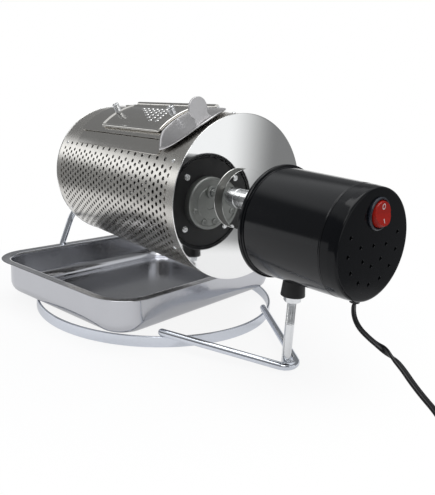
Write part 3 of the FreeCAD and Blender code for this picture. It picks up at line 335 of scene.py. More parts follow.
def finish(name, colour, roughness, metallic, skin, tint=0.06, smear=0.06, specular=None, inside=None):
    """A material: the skin group gives lines or grain, which tint the colour, and smears change the
    roughness.  The skin is (group, its values).  An inside colour is painted shade on the drum's inner faces."""
    look = bpy.data.materials.new(name)
    look.use_nodes = True
    tree = look.node_tree
    shader = tree.nodes["Principled BSDF"]
    group, values = skin
    surface = add(tree, "ShaderNodeGroup", node_tree=group)
    for label, value in values.items():
        surface.inputs[label].default_value = value
    handled = add(tree, "ShaderNodeGroup", node_tree=HANDLING)
    handled.inputs["Scale"].default_value = 38.0
    tone = add(tree, "ShaderNodeMix", data_type="RGBA")
    tree.links.new(surface.outputs[0], tone.inputs["Factor"])
    for socket, share in zip(colour_sockets(tone.inputs), (1 - tint, 1 + tint)):
        socket.default_value = [min(channel * share, 1.0) for channel in colour] + [1.0]
    mixed = colour_sockets(tone.outputs)[0]
    # painted shade: the inside colour darkens the drum's inner faces, standing for the shade inside the drum
    if inside:
        where = add(tree, "ShaderNodeGroup", node_tree=INNER_SHADE)
        both = add(tree, "ShaderNodeMix", {"Factor": where.outputs["Mask"]}, data_type="RGBA")
        outer, inner = colour_sockets(both.inputs)
        tree.links.new(mixed, outer)
        inner.default_value = list(inside) + [1.0]
        mixed = colour_sockets(both.outputs)[0]
    tree.links.new(mixed, shader.inputs["Base Color"])
    rough = add(tree, "ShaderNodeMapRange", {"Value": handled.outputs["Mask"], "To Min": roughness,
                                             "To Max": roughness + smear})
    tree.links.new(rough.outputs["Result"], shader.inputs["Roughness"])
    tree.links.new(surface.outputs["Normal"], shader.inputs["Normal"])
    shader.inputs["Metallic"].default_value = metallic
    if specular is not None:
        shader.inputs["Specular IOR Level"].default_value = specular
    return look


def lines(stretch, depth):
    """A skin of drawn lines: how much each axis is stretched, and how deep the lines are."""
    return GRAIN, {"Stretch": stretch, "Depth": depth}


def skin(scale, depth):
    """A skin of grain: its scale and its depth."""
    return SKIN, {"Scale": scale, "Depth": depth}


# By slot, and then five more for single pieces.  Each: name, colour, roughness, metallic, skin.
LOOKS = {
    # painted shade: the dark inside colour stands for the shade on the drum's inner faces
    "perforated_steel": finish("satin_sheet", (0.66, 0.64, 0.60), 0.25, 1.0, lines((20, 700, 700), 0.02),
                               0.04, 0.05, inside=(0.13, 0.12, 0.11)),
    "mirror_steel": finish("polished_plate", (0.90, 0.90, 0.89), 0.03, 1.0, lines((300, 40, 40), 0.004),
                           0.01, 0.02),
    "lid_steel": finish("drawn_sheet", (0.69, 0.67, 0.635), 0.12, 1.0, lines((14, 500, 500), 0.012), 0.05),
    "vane_steel": finish("plain_sheet", (0.40, 0.38, 0.35), 0.32, 1.0, lines((30, 700, 700), 0.05)),
    "wire_zinc": finish("bright_wire", (0.70, 0.73, 0.79), 0.10, 1.0, skin(400, 0.01), 0.03, 0.08),
    "bolt_steel": finish("turned_steel", (0.78, 0.79, 0.80), 0.18, 1.0, skin(700, 0.02), 0.05, 0.10),
    "tray_steel": finish("pressed_steel", (0.53, 0.535, 0.56), 0.13, 1.0, lines((120, 120, 40), 0.008),
                         0.03, 0.07),
    "black_shell": finish("gloss_moulding", (0.0032, 0.0037, 0.005), 0.10, 0.0, skin(300, 0.008), 0.05,
                          specular=0.35),
    "black_plastic": finish("satin_moulding", (0.012, 0.012, 0.013), 0.38, 0.0, skin(1500, 0.20), 0.10, 0.10,
                            specular=0.4),
    "rocker_red": finish("red_rocker", (0.36, 0.014, 0.008), 0.22, 0.0, skin(500, 0.02), 0.05, 0.05,
                         specular=0.2),
    "brass_insert": finish("turned_brass", (0.72, 0.52, 0.22), 0.25, 1.0, lines((40, 40, 1200), 0.1)),
    "gearbox_grey": finish("cast_zinc", (0.30, 0.31, 0.30), 0.42, 1.0, skin(500, 0.30), 0.10, 0.12),
    "motor_metal": finish("drawn_can", (0.40, 0.41, 0.42), 0.35, 1.0, lines((20, 900, 900), 0.10)),
    "cord_black": finish("cord_jacket", (0.006, 0.006, 0.007), 0.22, 0.0, skin(900, 0.05), 0.10, 0.08,
                         specular=0.34),
    "contact_metal": finish("plated_blade", (0.80, 0.79, 0.76), 0.16, 1.0, lines((900, 40, 900), 0.05), 0.04),
    # painted shade: a dark, rough copy of the polished hub steel, for the hub's wall in shade behind its face
    "hub_wall": finish("hub_wall_painted_shade", (0.17, 0.172, 0.165), 0.40, 1.0, skin(500, 0.04)),
    "cover_black": finish("cover_moulding", (0.0032, 0.0037, 0.005), 0.10, 0.0, skin(300, 0.008), 0.05,
                          specular=0.2),
    "pull_steel": finish("brushed_pull", (0.60, 0.59, 0.595), 0.30, 1.0, lines((40, 900, 900), 0.05), 0.10),
    "bezel_black": finish("switch_moulding", (0.016, 0.020, 0.030), 0.24, 0.0, skin(1200, 0.06), 0.08, 0.08),
    "mark_white": finish("switch_paint", (0.70, 0.62, 0.60), 0.40, 0.0, skin(900, 0.05), 0.03, 0.05),
}


# ---- cord ----------------------------------------------------------------------------------

# The route's points, in metres: from the cap's bush to the hank, and from the hank to the plug.
RUN = ((0.266, 0.0, 0.081), (0.2655, 0.0, 0.0735), (0.271, 0.0015, 0.0631), (0.281, 0.003, 0.0573),
       (0.2875, 0.003, 0.0552), (0.294, 0.0026, 0.0541), (0.3091, -0.0005, 0.0498), (0.3263, -0.0046, 0.0396),
       (0.348, -0.0065, 0.0285), (0.3665, -0.0125, 0.0122), (0.385, -0.016, 0.004), (0.401, -0.0105, 0.0016),
       (0.412, 0.0005, 0.0015), (0.418, 0.013, 0.0015))
TAIL = ((0.398, 0.121, 0.0098), (0.3855, 0.127, 0.0065), (0.3715, 0.129, 0.0022), (0.359, 0.123, 0.0030),
        (0.3523, 0.111, 0.0048), (0.352, 0.098, 0.0065))
HANK_MIDDLE = (0.402, 0.062)
HANK_HALF_RUN = 0.0405
FOLD_RADII = (0.0196, 0.0188, 0.0194, 0.0186)
HANK_POINTS = 67  # of the 80 in four whole laps
TIE_LOW, TIE_HIGH, TIE_CORNER = (394.9, 0.3), (409.1, 12.7), 3.4
TIE_SECTION = ((-0.3, -1.9), (0.35, -1.9), (0.35, 1.9), (-0.3, 1.9))  # outwards from the loop, and along Y
STRAND, CORD_WIDTH = 0.0028, 0.0054
TWIST_START, TWIST_LENGTH = 34.0, 26.0


def hank_points():
    """Turns of the hank: two points through the waist, then eight round a fold, at each end in turn.
    It rises evenly by 3.4 strands, starts beside the lower fold and leaves over the upper one."""
    fold = np.radians(np.linspace(-14, 194, 8))
    lap = []
    for radius in FOLD_RADII:
        for end in (1, -1):
            lap += [(STRAND * end, -0.006 * end), (STRAND * end, 0.006 * end)]
            lap += list(zip(end * radius * np.cos(fold), end * (HANK_HALF_RUN + radius * np.sin(fold))))
    points = np.array([(FOLD_RADII[0], -HANK_HALF_RUN)] + lap[:HANK_POINTS])
    rise = np.linspace(0, 1, len(points)) * 3.4 * STRAND
    return np.column_stack([points + HANK_MIDDLE, 0.0015 + rise])


def spline_line(points, steps=10):
    """Points along one smooth spline of order 3 that has the given control points."""
    curve = bpy.data.curves.new("cord_route", "CURVE")
    curve.dimensions = "3D"
    curve.resolution_u = steps
    spline = curve.splines.new("NURBS")
    spline.points.add(len(points) - 1)
    spline.points.foreach_set("co", np.column_stack([points, np.ones(len(points))]).ravel())
    spline.order_u = 3
    spline.use_endpoint_u = True
    holder = bpy.data.objects.new("cord_route", curve)
    mesh = bpy.data.meshes.new_from_object(holder)
    line = np.empty(3 * len(mesh.vertices))
    mesh.vertices.foreach_get("co", line)
    bpy.data.objects.remove(holder)
    bpy.data.curves.remove(curve)
    bpy.data.meshes.remove(mesh)
    return line.reshape(-1, 3)


def twin_section(steps=28):
    """Two conductors side by side: across = 1.3 tanh(3 cos v) + 1.4 cos v, up = 1.4 sin v, less 0.26
    of itself along the middle groove, where the share falls off as exp(-(across / 0.6)^2)."""
    v = np.linspace(0, 2 * math.pi, steps, endpoint=False)
    across = 1.3 * np.tanh(3 * np.cos(v)) + 1.4 * np.cos(v)
    return np.stack([across, 1.4 * np.sin(v) * (1 - 0.26 * np.exp(-(across / 0.6) ** 2))], -1)


def cord_surface(line):
    """The flat cord along its line, lying flat, with half a twist in the air past the cap.

    The side is level: up x tangent, with a little of Y so that it is never nothing, turned about
    the tangent by pi times a smooth step of the way along.
    """
    tangent = np.gradient(line, axis=0)
    tangent /= np.linalg.norm(tangent, axis=1, keepdims=True)
    level = np.cross((0, 0, 1.0), tangent) + (0, 0.05, 0)
    level -= (level * tangent).sum(1, keepdims=True) * tangent
    level /= np.linalg.norm(level, axis=1, keepdims=True)
    along = np.concatenate([[0], np.cumsum(np.linalg.norm(np.diff(line, axis=0), axis=1))])
    share = np.clip((along - TWIST_START) / TWIST_LENGTH, 0, 1)
    turn = (math.pi * share ** 2 * (3 - 2 * share))[:, None]
    side = level * np.cos(turn) + np.cross(tangent, level) * np.sin(turn)
    return swept(line, twin_section(), side)


PLUG_X, PLUG_Z = 352.0, 6.5
# Sections of the plug's body, back to front: y, half its width, half its thickness, corner radius.
PLUG_SECTIONS = (
    (76, 8.0, 4.9, 3.0), (75.4, 9.2, 5.7, 3.2), (72.5, 10.6, 6.2, 3.4), (66, 10.9, 6.4, 3.4),
    (62, 10.3, 6.2, 3.2), (58, 10.9, 6.4, 3.4), (54, 10.3, 6.2, 3.2), (50, 10.9, 6.4, 3.4),
    (43, 10.9, 6.45, 3.4), (41, 11.2, 6.45, 3.2), (40, 12.6, 6.45, 3.0), (39.4, 13.0, 6.5, 2.8),
    (36.5, 13.0, 6.5, 2.8), (36, 12.4, 6.0, 2.4))
RELIEF_TIP, RELIEF_FOOT, RIB_PITCH = 98, 76, 3.4


def plug_body_surface():
    """Plug body with a flange and shallow finger grips: rounded rectangles joined in order."""
    levels = [(rounded_loop((PLUG_X - half, PLUG_Z - thick), (PLUG_X + half, PLUG_Z + thick), corner, 6), y)
              for y, half, thick, corner in PLUG_SECTIONS]
    return pressed(levels, lambda across, up, along: np.stack([across, along, up], -1))


def plug_relief_surface():
    """Ribbed sleeve on the cord: its radius grows evenly from 3.25 by 1.1, less 0.55 times a rib wave
    0.5 + 0.5 tanh(4 cos(way / pitch))."""
    along = np.linspace(RELIEF_TIP, RELIEF_FOOT, 67)
    rib = 0.5 + 0.5 * np.tanh(4 * np.cos(2 * math.pi * (RELIEF_TIP - along) / RIB_PITCH))
    radius = 3.25 + (RELIEF_TIP - along) / (RELIEF_TIP - RELIEF_FOOT) * 1.1 - 0.55 * rib
    profile = np.column_stack([np.concatenate([[RELIEF_TIP], along, [RELIEF_FOOT]]),
                               np.concatenate([[0], radius, [0]])])
    return revolved(profile, "y", (PLUG_X, 0, PLUG_Z), 36)


def tie_surface():
    """A band round the waist: a rounded loop in x and z, with a thin rounded section along Y."""
    loop = rounded_loop(TIE_LOW, TIE_HIGH, TIE_CORNER, 4, 6)
    path = np.column_stack([loop[:, 0], np.full(len(loop), HANK_MIDDLE[1] / MM), loop[:, 1]])
    out = loop - loop.mean(0)
    out = np.column_stack([out[:, 0], np.zeros(len(out)), out[:, 1]])
    out /= np.linalg.norm(out, axis=1, keepdims=True)
    section = softened(TIE_SECTION, 0.25, 3, closed=True)
    width = section[None, :, 1:] * np.array([0, 1.0, 0])
    points = path[:, None] + section[None, :, :1] * out[:, None] + width
    return grid(points, wrap_rows=True, wrap_columns=True)


def add_cord():
    """The cord from the cap to its plug, with its tie."""
    line = spline_line(np.concatenate([np.array(RUN), hank_points(), np.array(TAIL)]))
    cord = piece("mains_cord", cord_surface(line / MM), "cord_black", "stand",
                 "cord_run", "cord_hank", "cord_tail", sharp=60)
    tie = piece("hank_tie", tie_surface(), "black_plastic", "stand", "cord_tie")
    plug = piece("mains_plug_body", plug_body_surface(), "black_plastic", "stand", "plug_body")
    sleeve = piece("plug_relief", plug_relief_surface(), "black_plastic", "stand", "plug_strain_relief")


# ---- stand ---------------------------------------------------------------------------------

RING_RADIUS, RING_WALL, RING_HEIGHT = 130.8, 2.5, 10.6
ROD, WELD_SINK = 3.5, 0.3
OUTRIGGER_SPREAD, OUTRIGGER_APEX, OUTRIGGER_BEND = 29.0, (212.7, 7.3), 12.0
WIRE_FOOT_TURN, WIRE_BEND, EYE_TURN, EYE_PLANE = 212.2, 16.0, 290, -124.0
KNEE_ACROSS, KNEE_BELOW = 49.0, 60.1
THREAD_PITCH = 1.25


def ring_surface():
    """The flat band on edge: its rounded section turned about Z."""
    section = [(0, RING_RADIUS - RING_WALL), (RING_HEIGHT, RING_RADIUS - RING_WALL),
               (RING_HEIGHT, RING_RADIUS), (0, RING_RADIUS)]
    return turned(section, 0.7, "z", (0, 0, 0), 240)


def bead(centre, size, turn=0.0, ripple=0.10):
    """A weld bead: a squashed ball, turned about Z, whose radius is 1 + ripple sin(5 around + 1.3)
    sin(down) sin(3 down)."""
    around, down = np.meshgrid(np.linspace(0, 2 * math.pi, 28, endpoint=False), np.linspace(0, math.pi, 15))
    swell = 1 + ripple * np.sin(5 * around + 1.3) * np.sin(down) * np.sin(3 * down)
    ball = np.stack([np.cos(around) * np.sin(down), np.sin(around) * np.sin(down), np.cos(down)], -1)
    ball = ball * swell[..., None] * np.asarray(size, float)
    cos, sin = math.cos(turn), math.sin(turn)
    ball = ball @ np.array([[cos, sin, 0], [-sin, cos, 0], [0, 0, 1]])
    return grid(ball + np.asarray(centre, float), wrap_columns=True)


def outrigger_path():
    """The V of wire from the ring to the post: its corner is moved out until the bend's apex, which
    lies bend (1/sin(lean) - 1) inside it, is where the post needs it."""
    middle, turn = RING_RADIUS - RING_WALL / 2, math.radians(OUTRIGGER_SPREAD)
    reach, apex = OUTRIGGER_APEX
    high = RING_HEIGHT + ROD - WELD_SINK
    seat = np.array([middle * math.cos(turn), middle * math.sin(turn)])
    corner = reach
    for _ in range(12):
        lean = math.atan2(seat[1], corner - seat[0])
        corner = reach + OUTRIGGER_BEND * (1 / math.sin(lean) - 1)
    leg = np.array([corner - seat[0], -seat[1]])
    back = seat - leg / np.hypot(*leg) * 4.0
    low = high + (apex - high) / (reach - seat[0]) * (corner - seat[0])
    ends = [(back[0], back[1], high), (corner, 0, low), (back[0], -back[1], high)]
    share = np.linspace(0, 1, 14)[:, None]
    bent = softened(ends, OUTRIGGER_BEND, 18)
    first, last = bent[0] + share * (bent[1] - bent[0]), bent[-2] + share * (bent[-1] - bent[-2])
    return np.concatenate([first[:-1], bent[1:-1], last[1:]]), seat


def axle_wire_path():
    """The wire from the ring's foot up past the tray, over a knee and round the far axle: its last
    run meets the eye's circle as a tangent, at the knee's slope less asin(eye / away)."""
    eye = 4.0 + 0.2 + ROD
    turn = math.radians(WIRE_FOOT_TURN)
    foot = (RING_RADIUS + ROD - WELD_SINK) * np.array([math.cos(turn), math.sin(turn)])
    beside = on_tray(TRAY_LOW[0] - ROD - 2.6, -34.2, TRAY_RIM)
    knee = np.array([EYE_PLANE + 1.0, -KNEE_ACROSS, DRUM_Z - KNEE_BELOW])
    away = math.hypot(KNEE_ACROSS, KNEE_BELOW)
    slope = math.atan2(KNEE_BELOW, KNEE_ACROSS) - math.asin(eye / away)
    touch = (EYE_PLANE, -eye * math.sin(slope), DRUM_Z + eye * math.cos(slope))
    leg = softened([(foot[0], foot[1], ROD + 0.5), (foot[0], foot[1], RING_HEIGHT + 3.4), beside, knee,
                    touch], WIRE_BEND, 12)
    around = slope + np.radians(90 - np.linspace(0, EYE_TURN, 60)[1:])
    ring = np.stack(np.broadcast_arrays(EYE_PLANE, eye * np.cos(around), DRUM_Z + eye * np.sin(around)), -1)
    return np.concatenate([leg, ring]), foot


def evened(path, spacing):
    """A path cut into equal steps, by straight interpolation along its length."""
    along = np.concatenate([[0], np.cumsum(np.linalg.norm(np.diff(path, axis=0), axis=1))])
    wanted = np.linspace(0, along[-1], max(2, int(along[-1] / spacing)))
    return np.stack([np.interp(wanted, along, part) for part in path.T], -1)


def threaded_post():
    """The motor post: a plain rod whose radius falls under the nut by 0.62 times a wave of (height /
    pitch - turn) to the power 1.4, which is one thread, and fades in and out at its two ends."""
    height = np.concatenate([[3.8, 3.8], np.linspace(4.2, 42, 30), np.arange(42.2, 63.2, 0.1),
                             [64, 79.0, 79.0]])
    turn = np.linspace(0, 2 * math.pi, 32, endpoint=False)
    wave = np.abs(np.mod(height[:, None] / THREAD_PITCH - turn / (2 * math.pi), 1.0) - 0.5) * 2
    cut = np.clip((height - 43.0) / 1.6, 0, 1) * np.clip((64.0 - height) / 0.8, 0, 1)
    radius = 3.97 - 0.62 * cut[:, None] * wave ** 1.4
    radius[[0, -1]] = 0
    points = np.stack([POST_X + radius * np.cos(turn), radius * np.sin(turn),
                       np.broadcast_to(height[:, None], radius.shape)], -1)
    return grid(points, wrap_columns=True)


def hexagon_nut(foot, flats, height, bore):
    """A nut on the post: its radius is the hexagon's, flats / 2 over the cosine of the turn from a
    flat's middle, or a cone's near both faces where that is less."""
    turn = np.linspace(0, 2 * math.pi, 96, endpoint=False)
    hexagon = flats / 2 / np.cos(np.mod(turn + math.pi / 6, math.pi / 3) - math.pi / 6)
    depth = np.array([0, 0.25, 0.5, 0.8, height / 2, height - 0.8, height - 0.5, height - 0.25, height])
    cone = flats / 2 * 0.99 + 1.9 * np.minimum(depth, height - depth)
    radius = np.minimum(hexagon[None], cone[:, None])
    rows = np.concatenate([np.full((1, 96), bore), radius, np.full((1, 96), bore)])
    depth = np.concatenate([[0], depth, [height]])[:, None]
    points = np.stack([POST_X + rows * np.cos(turn), rows * np.sin(turn),
                       np.broadcast_to(foot + depth, rows.shape)], -1)
    return grid(points, wrap_rows=True, wrap_columns=True)


def add_stand():
    """The ring, its two welded wires with their beads, and the post with its nut and boss."""
    piece("ring_band", ring_surface(), "wire_zinc", "stand", "base_ring")
    path, seat = outrigger_path()
    whole, scale = domed(path, ROD)
    piece("outrigger_wire", swept(whole, circle(ROD), (0, 0, 1), scale), "wire_zinc", "stand",
          "outrigger_rod")
    path, foot = axle_wire_path()
    whole, scale = domed(evened(path, 2.0), ROD, 4)
    piece("axle_wire", swept(whole, circle(ROD), (1, 0.02, 0), scale), "wire_zinc", "stand",
          "axle_support_rod")
    beads = [bead((seat[0], side * seat[1], RING_HEIGHT + 0.4), (4.6, 3.0, 1.5), side * -0.6)
             for side in (1, -1)]
    beads += [bead((foot[0] * 0.985, foot[1] * 0.985, 5.6), (2.4, 2.4, 4.2)),
              bead((209.4, 0, 7.2), (3.4, 4.6, 3.6)), bead((205.6, 0, 4.9), (5.0, 5.0, 1.5))]
    piece("weld_beads", join(*beads), "wire_zinc", "stand")
    piece("post", threaded_post(), "bolt_steel", "stand", "motor_post", sharp=50)
    piece("lock_nut", hexagon_nut(63.0, 13.0, 5.2, 4.05), "bolt_steel", "stand", "post_lock_nut", sharp=25)
    boss = [(68.2, 6.35), (68.2, 10.4), (81.8, 9.15), (81.8, 6.35)]
    piece("boss", turned(boss, 0.6, "z", (POST_X, 0, 0), 64), "black_plastic", "stand", "post_boss")


# ---- drum ----------------------------------------------------------------------------------

HOLE_RADIUS = 1.86
LINES, STEPS = 38, 144  # lattice lines along the drum and angle steps round it
FIRST_LINE, LINE_PITCH, FIRST_ANGLE, STEP_ANGLE = 123.405, 6.21, 61.5, 2.5
MOUTH_LINES, MOUTH_STEPS = (10, 27), (126, 136)
NEAR_RIVETS, FAR_RIVETS, FIRST_RIVET = 120.3, -90.4, 64
# Faces of a cell between its hole's points (h) and the six lattice points round it (b).
CELL_QUADS = ("h0 b0 b1 h1", "h5 b2 b3 h6", "h6 b3 b4 h7", "h11 b5 b0 h0")
CELL_TRIANGLES = ("h1 b1 h2", "h2 b1 h3", "b1 b2 h3", "h3 b2 h4", "h4 b2 h5", "h7 b4 h8", "h8 b4 h9",
                  "b4 b5 h9", "h9 b5 h10", "h10 b5 h11")


def perforated_shell():
    """The rolled sheet with its rows of holes and the loading mouth.

    Lines along the drum and angles round it make a lattice.  A column of cells lies between two
    lines, each cell two angle steps high, with a hole in its middle: six lattice points round it,
    twelve points of the hole's circle, and fourteen faces between them.  Neighbouring columns are
    shifted by half a cell.  The same lattice at the inner radius, joined at the holes, the ends and
    the mouth, gives the sheet its wall.
    """
    lines_x = np.concatenate([[NEAR_FACE - SHEET], FIRST_LINE - LINE_PITCH * np.arange(LINES - 2),
                              [FAR_FACE + SHEET]])
    angles = FIRST_ANGLE + STEP_ANGLE * np.arange(STEPS)
    even = [(c, 1 + 2 * k) for c in range(0, 35, 2) for k in range(59)]
    odd = [(c, 4 + 2 * k) for c in range(1, 35, 2) for k in range(57)]
    # The end columns leave out the holes where the rivets sit.
    cells = np.array([cell for cell in even + odd if not (cell[0] in (0, 34) and cell[1] % 24 == 1)])
    column, middle = cells.T
    turn = np.radians(30 * np.arange(12))
    hole_x = ((lines_x[column + 1] + lines_x[column + 2]) / 2)[:, None] + HOLE_RADIUS * np.cos(turn)
    hole_angle = angles[middle][:, None] + np.degrees(HOLE_RADIUS * np.sin(turn) / SHELL)

    def at(line, step):
        return line * STEPS + step % STEPS
    around_hole = np.stack([at(column + line, middle + step)
                            for line, step in ((1, 0), (1, 1), (2, 1), (2, 0), (2, -1), (1, -1))], -1)
    hole = LINES * STEPS + np.arange(len(cells) * 12).reshape(-1, 12)
    points_of = {"h": hole, "b": around_hole}

    def cell_faces(plans):
        return np.concatenate([np.stack([points_of[corner[0]][:, int(corner[1:])]
                                         for corner in plan.split()], -1) for plan in plans])
    quads, triangles = cell_faces(CELL_QUADS), cell_faces(CELL_TRIANGLES)
    plain = np.ones((LINES - 1, STEPS), bool)
    plain[column + 1, middle] = False
    plain[column + 1, middle - 1] = False
    plain[slice(*MOUTH_LINES), slice(*MOUTH_STEPS)] = False
    line, step = np.nonzero(plain)
    flat = np.stack([at(line, step), at(line, step + 1), at(line + 1, step + 1), at(line + 1, step)], -1)
    across, around = np.meshgrid(lines_x, angles, indexing="ij")

    def layer(radius):
        return np.concatenate([on_drum(across, around, radius).reshape(-1, 3),
                               on_drum(hole_x, hole_angle, radius).reshape(-1, 3)])
    outer, inner = layer(SHELL), layer(SHELL - SHEET)
    steps, mouth_steps, mouth_lines = np.arange(STEPS), np.arange(*MOUTH_STEPS), np.arange(*MOUTH_LINES)
    edges = [np.stack([hole, np.roll(hole, -1, 1)], -1).reshape(-1, 2)]
    edges += [np.stack([at(row, steps), at(row, steps + 1)], -1) for row in (0, LINES - 1)]
    edges += [np.stack([at(row, mouth_steps), at(row, mouth_steps + 1)], -1) for row in MOUTH_LINES]
    edges += [np.stack([at(mouth_lines, step), at(mouth_lines + 1, step)], -1) for step in MOUTH_STEPS]
    edges = np.concatenate(edges)
    count = len(outer)
    rims = np.column_stack([edges, edges[:, ::-1] + count])
    faces = [np.concatenate([quads, flat, quads + count, flat + count, rims]),
             np.concatenate([triangles, triangles + count])]
    return np.concatenate([outer, inner]), faces


def end_plate_surface(face, outward):
    """A pressed end: flat disc, a rolled edge past the shell, and a skirt inside it, as a turned
    section.  Sizes run inwards from the face, outward is +1 towards the motor and -1 away."""
    corners = [(0, 4.1), (0, 20.0), (0, 74.0), (0, 75.4), (-1.0, 75.4),
               (-1.0, 73.93), (-18.9, 73.93), (-18.9, 72.95), (-1.6, 72.95), (-1.0, 72.2), (-1.0, 4.1)]
    return turned(np.array(corners) * (outward, 1) + (face, 0), 0.45, "x", DRUM_AXIS, 192)


def rivet_heads(along):
    """Six low round heads on the shell: height 0.9 sqrt(1 - (r / 1.7)^2) above it, closed below."""
    share = np.concatenate([np.sin(np.linspace(0, math.pi / 2, 7)), [0.0]])
    radius = 1.7 * share
    height = np.concatenate([0.9 * np.sqrt(1 - share[:-1] ** 2), [0.0]])[:, None]
    turn = np.linspace(0, 2 * math.pi, 20, endpoint=False)
    x, around = radius[:, None] * np.cos(turn), radius[:, None] * np.sin(turn)
    return join(*[grid(on_drum(along + x, angle + around / PER_DEGREE, SHELL + 0.02 + height),
                       wrap_columns=True) for angle in range(FIRST_RIVET, FIRST_RIVET + 360, 60)])


# What turns on the drum's axis: sections of rings with their corners' radii, and half sections of
# solid shafts.  The hub is a thin polished face on a wall that draws in behind it.
HUB_FACE = ((138.6, 9.1), (138.6, 27.4), (138.88, 27.6), (139.0, 27.5), (139.0, 9.1))
HUB_FACE_RADII = (0.1, 0.1, 0.05, 0.05, 0.15)
HUB_WALL = ((NEAR_FACE, 19.2), (NEAR_FACE, 20.4), (138.62, 27.2), (138.62, 25.6))
HUB_WALL_RADII = (0.1, 0.3, 0.1, 0.1)
SOCKET = ((NEAR_FACE, 4.1), (NEAR_FACE, 9.0), (145.4, 9.0), (145.8, 8.5), (147.0, 8.5), (147.4, 9.0),
          (157.0, 9.0), (158.0, 8.2), (158.0, 4.1))
COLLAR = ((-132.1, 4.05), (-132.1, 6.8), (-128.1, 6.8), (-128.1, 4.05))
SHAFT = ((141.0, 0.0), (141.0, 3.6), (141.4, 3.98), (192.0, 3.98), (192.0, 0.0))
AXLE = ((-137.0, 0.0), (-137.0, 3.2), (-136.3, 3.98), (-106.6, 3.98), (-105.6, 5.2), (-105.6, 13.5),
        (-105.1, 14.0), (FAR_FACE, 14.0), (FAR_FACE, 3.98), (-97.6, 3.98), (-97.6, 0.0))


def add_drum():
    """The shell, its end plates with their rivets, and what turns on its axis."""
    def on_axis(corners, radii, steps, arc_steps=4):
        return turned(corners, radii, "x", DRUM_AXIS, steps, arc_steps)
    piece("perforated_shell", perforated_shell(), "perforated_steel", "drum", "drum_shell")
    piece("motor_side_plate", end_plate_surface(NEAR_FACE, 1), "mirror_steel", "drum", "motor_side_end_plate")
    piece("far_side_plate", end_plate_surface(FAR_FACE, -1), "mirror_steel", "drum", "far_end_plate")
    piece("motor_side_rivet_heads", rivet_heads(NEAR_RIVETS), "bolt_steel", "drum", "motor_side_rivets")
    piece("far_side_rivet_heads", rivet_heads(FAR_RIVETS), "bolt_steel", "drum", "far_side_rivets")
    piece("hub", on_axis(HUB_FACE, HUB_FACE_RADII, 128), "mirror_steel", "drum", "hub_dish")
    # the wall's finish is painted shade, darker than the polished face
    piece("hub_wall", on_axis(HUB_WALL, HUB_WALL_RADII, 128), "mirror_steel", "drum", "hub_dish",
          look="hub_wall")
    piece("shaft_socket", on_axis(SOCKET, 0.35, 64, 3), "bolt_steel", "drum", "drive_socket")
    piece("motor_shaft", revolved(SHAFT, "x", DRUM_AXIS, 48), "bolt_steel", "drum", "output_shaft")
    piece("axle_pin", revolved(AXLE, "x", DRUM_AXIS, 64), "bolt_steel", "drum", "far_axle")
    piece("shaft_collar", on_axis(COLLAR, 0.6, 48), "bolt_steel", "drum", "axle_collar")


# ---- lid -----------------------------------------------------------------------------------

LID_ANGLE = 30.0
SADDLE = (-65.0, -14.0), (95.6, 62.5)  # corners of the sheet: along, and degrees round the drum
MOUTH = (-34.0, 16.1), (72.0, 43.9)
PANEL = (-70.0, 0.0), (103.0, 51.0)
COVER = (-28.0, 13.0), (82.0, 47.0)
COVER_TOP = 80.75
SCREW_PLACES = (("far", -23.5), ("near", 78.0))


def plan(corners, inset=0.0):
    """A rectangle's low and high corners on the drum, in millimetres along it and round it."""
    (low_x, low_angle), (high_x, high_angle) = corners
    return ((low_x + inset, low_angle * PER_DEGREE + inset),
            (high_x - inset, high_angle * PER_DEGREE - inset))


def saddle_surface():
    """The sheet round the loading mouth: outlines that pass evenly from its outer edge to the
    mouth's edge along the top, and back along the underside."""
    steps = {"side_steps": 26, "corner_steps": 4}
    outer = rounded_loop(*plan(SADDLE), 3.0, **steps)
    tight = rounded_loop(*plan(SADDLE, 0.3), 2.8, **steps)
    mouth = rounded_loop(*plan(MOUTH), 2.5, **steps)
    shares = np.linspace(0, 1, 9)[1:]
    top = [(tight + share * (mouth - tight), 1.05) for share in shares]
    under = [(outer + share * (mouth - outer), 0.05) for share in shares[::-1]]
    return pressed([(outer, 0.05), (outer, 0.75), (tight, 1.05)] + top + under, wrapped, open_middle=True)


def panel_surface():
    """The lid's sheet: rounded rectangles at small insets and heights, which give a plain plate with
    soft edges, bent to the drum."""
    levels = [(1.0, 1.55), (0.0, 1.75), (0.0, 2.3), (0.35, 2.55), (2.0, 2.55), (8.0, 2.55)]
    return pressed(inset_loops(*plan(PANEL), 3.0, levels, side_steps=24), wrapped, rings=12)


def cover_surface():
    """The raised cover: a dark gap under a thick rolled hem, inset 1.35 (1 - cos a) and height 4.35 +
    1.35 sin a, and a top drawn in behind the hem."""
    hem = np.radians(np.linspace(-110, 90, 13))
    levels = [(4.0, 2.6), (4.0, 3.1)] + [(1.35 - 1.35 * math.cos(a), 4.35 + 1.35 * math.sin(a)) for a in hem]
    levels += [(2.6, 5.3), (3.6, 4.75), (4.6, 4.6), (7.0, 4.7), (12.0, 4.9)]
    return pressed(inset_loops(*plan(COVER), 3.6, levels, side_steps=24), wrapped, rings=12)


def cover_dimples():
    """Low oval pips in six rows, each one pip shorter than the row before it, so that they fill a
    triangle.  A pip's height is 4.8 + 0.7 sqrt(1 - share^2), share 0 in its middle and 1 at its rim."""
    rows = [(8.0 + 8.6 * row, 57.0 + 1.1 * row, 7 - row, 21.5 + 3.1 * row) for row in range(6)]
    pips = [(along, angle) for low, high, count, angle in rows for along in np.linspace(low, high, count)]
    share = np.sin(np.linspace(0, math.pi / 2, 5))
    turn = np.linspace(0, 2 * math.pi, 14, endpoint=False)
    height = 4.8 + 0.7 * np.sqrt(1 - share ** 2)[:, None]
    x, around = 2.7 * share[:, None] * np.cos(turn), 1.55 * share[:, None] * np.sin(turn)
    return join(*[grid(on_drum(along + x, angle + around / PER_DEGREE, SHELL + height), wrap_columns=True)
                  for along, angle in pips])


PULL_X, PULL_RADIUS = 90.0, 39.2
TAB_X, TAB_ANGLE, TAB_FOOT, TAB_RADIUS = 124.75, 32.5, 78.05, 9.5


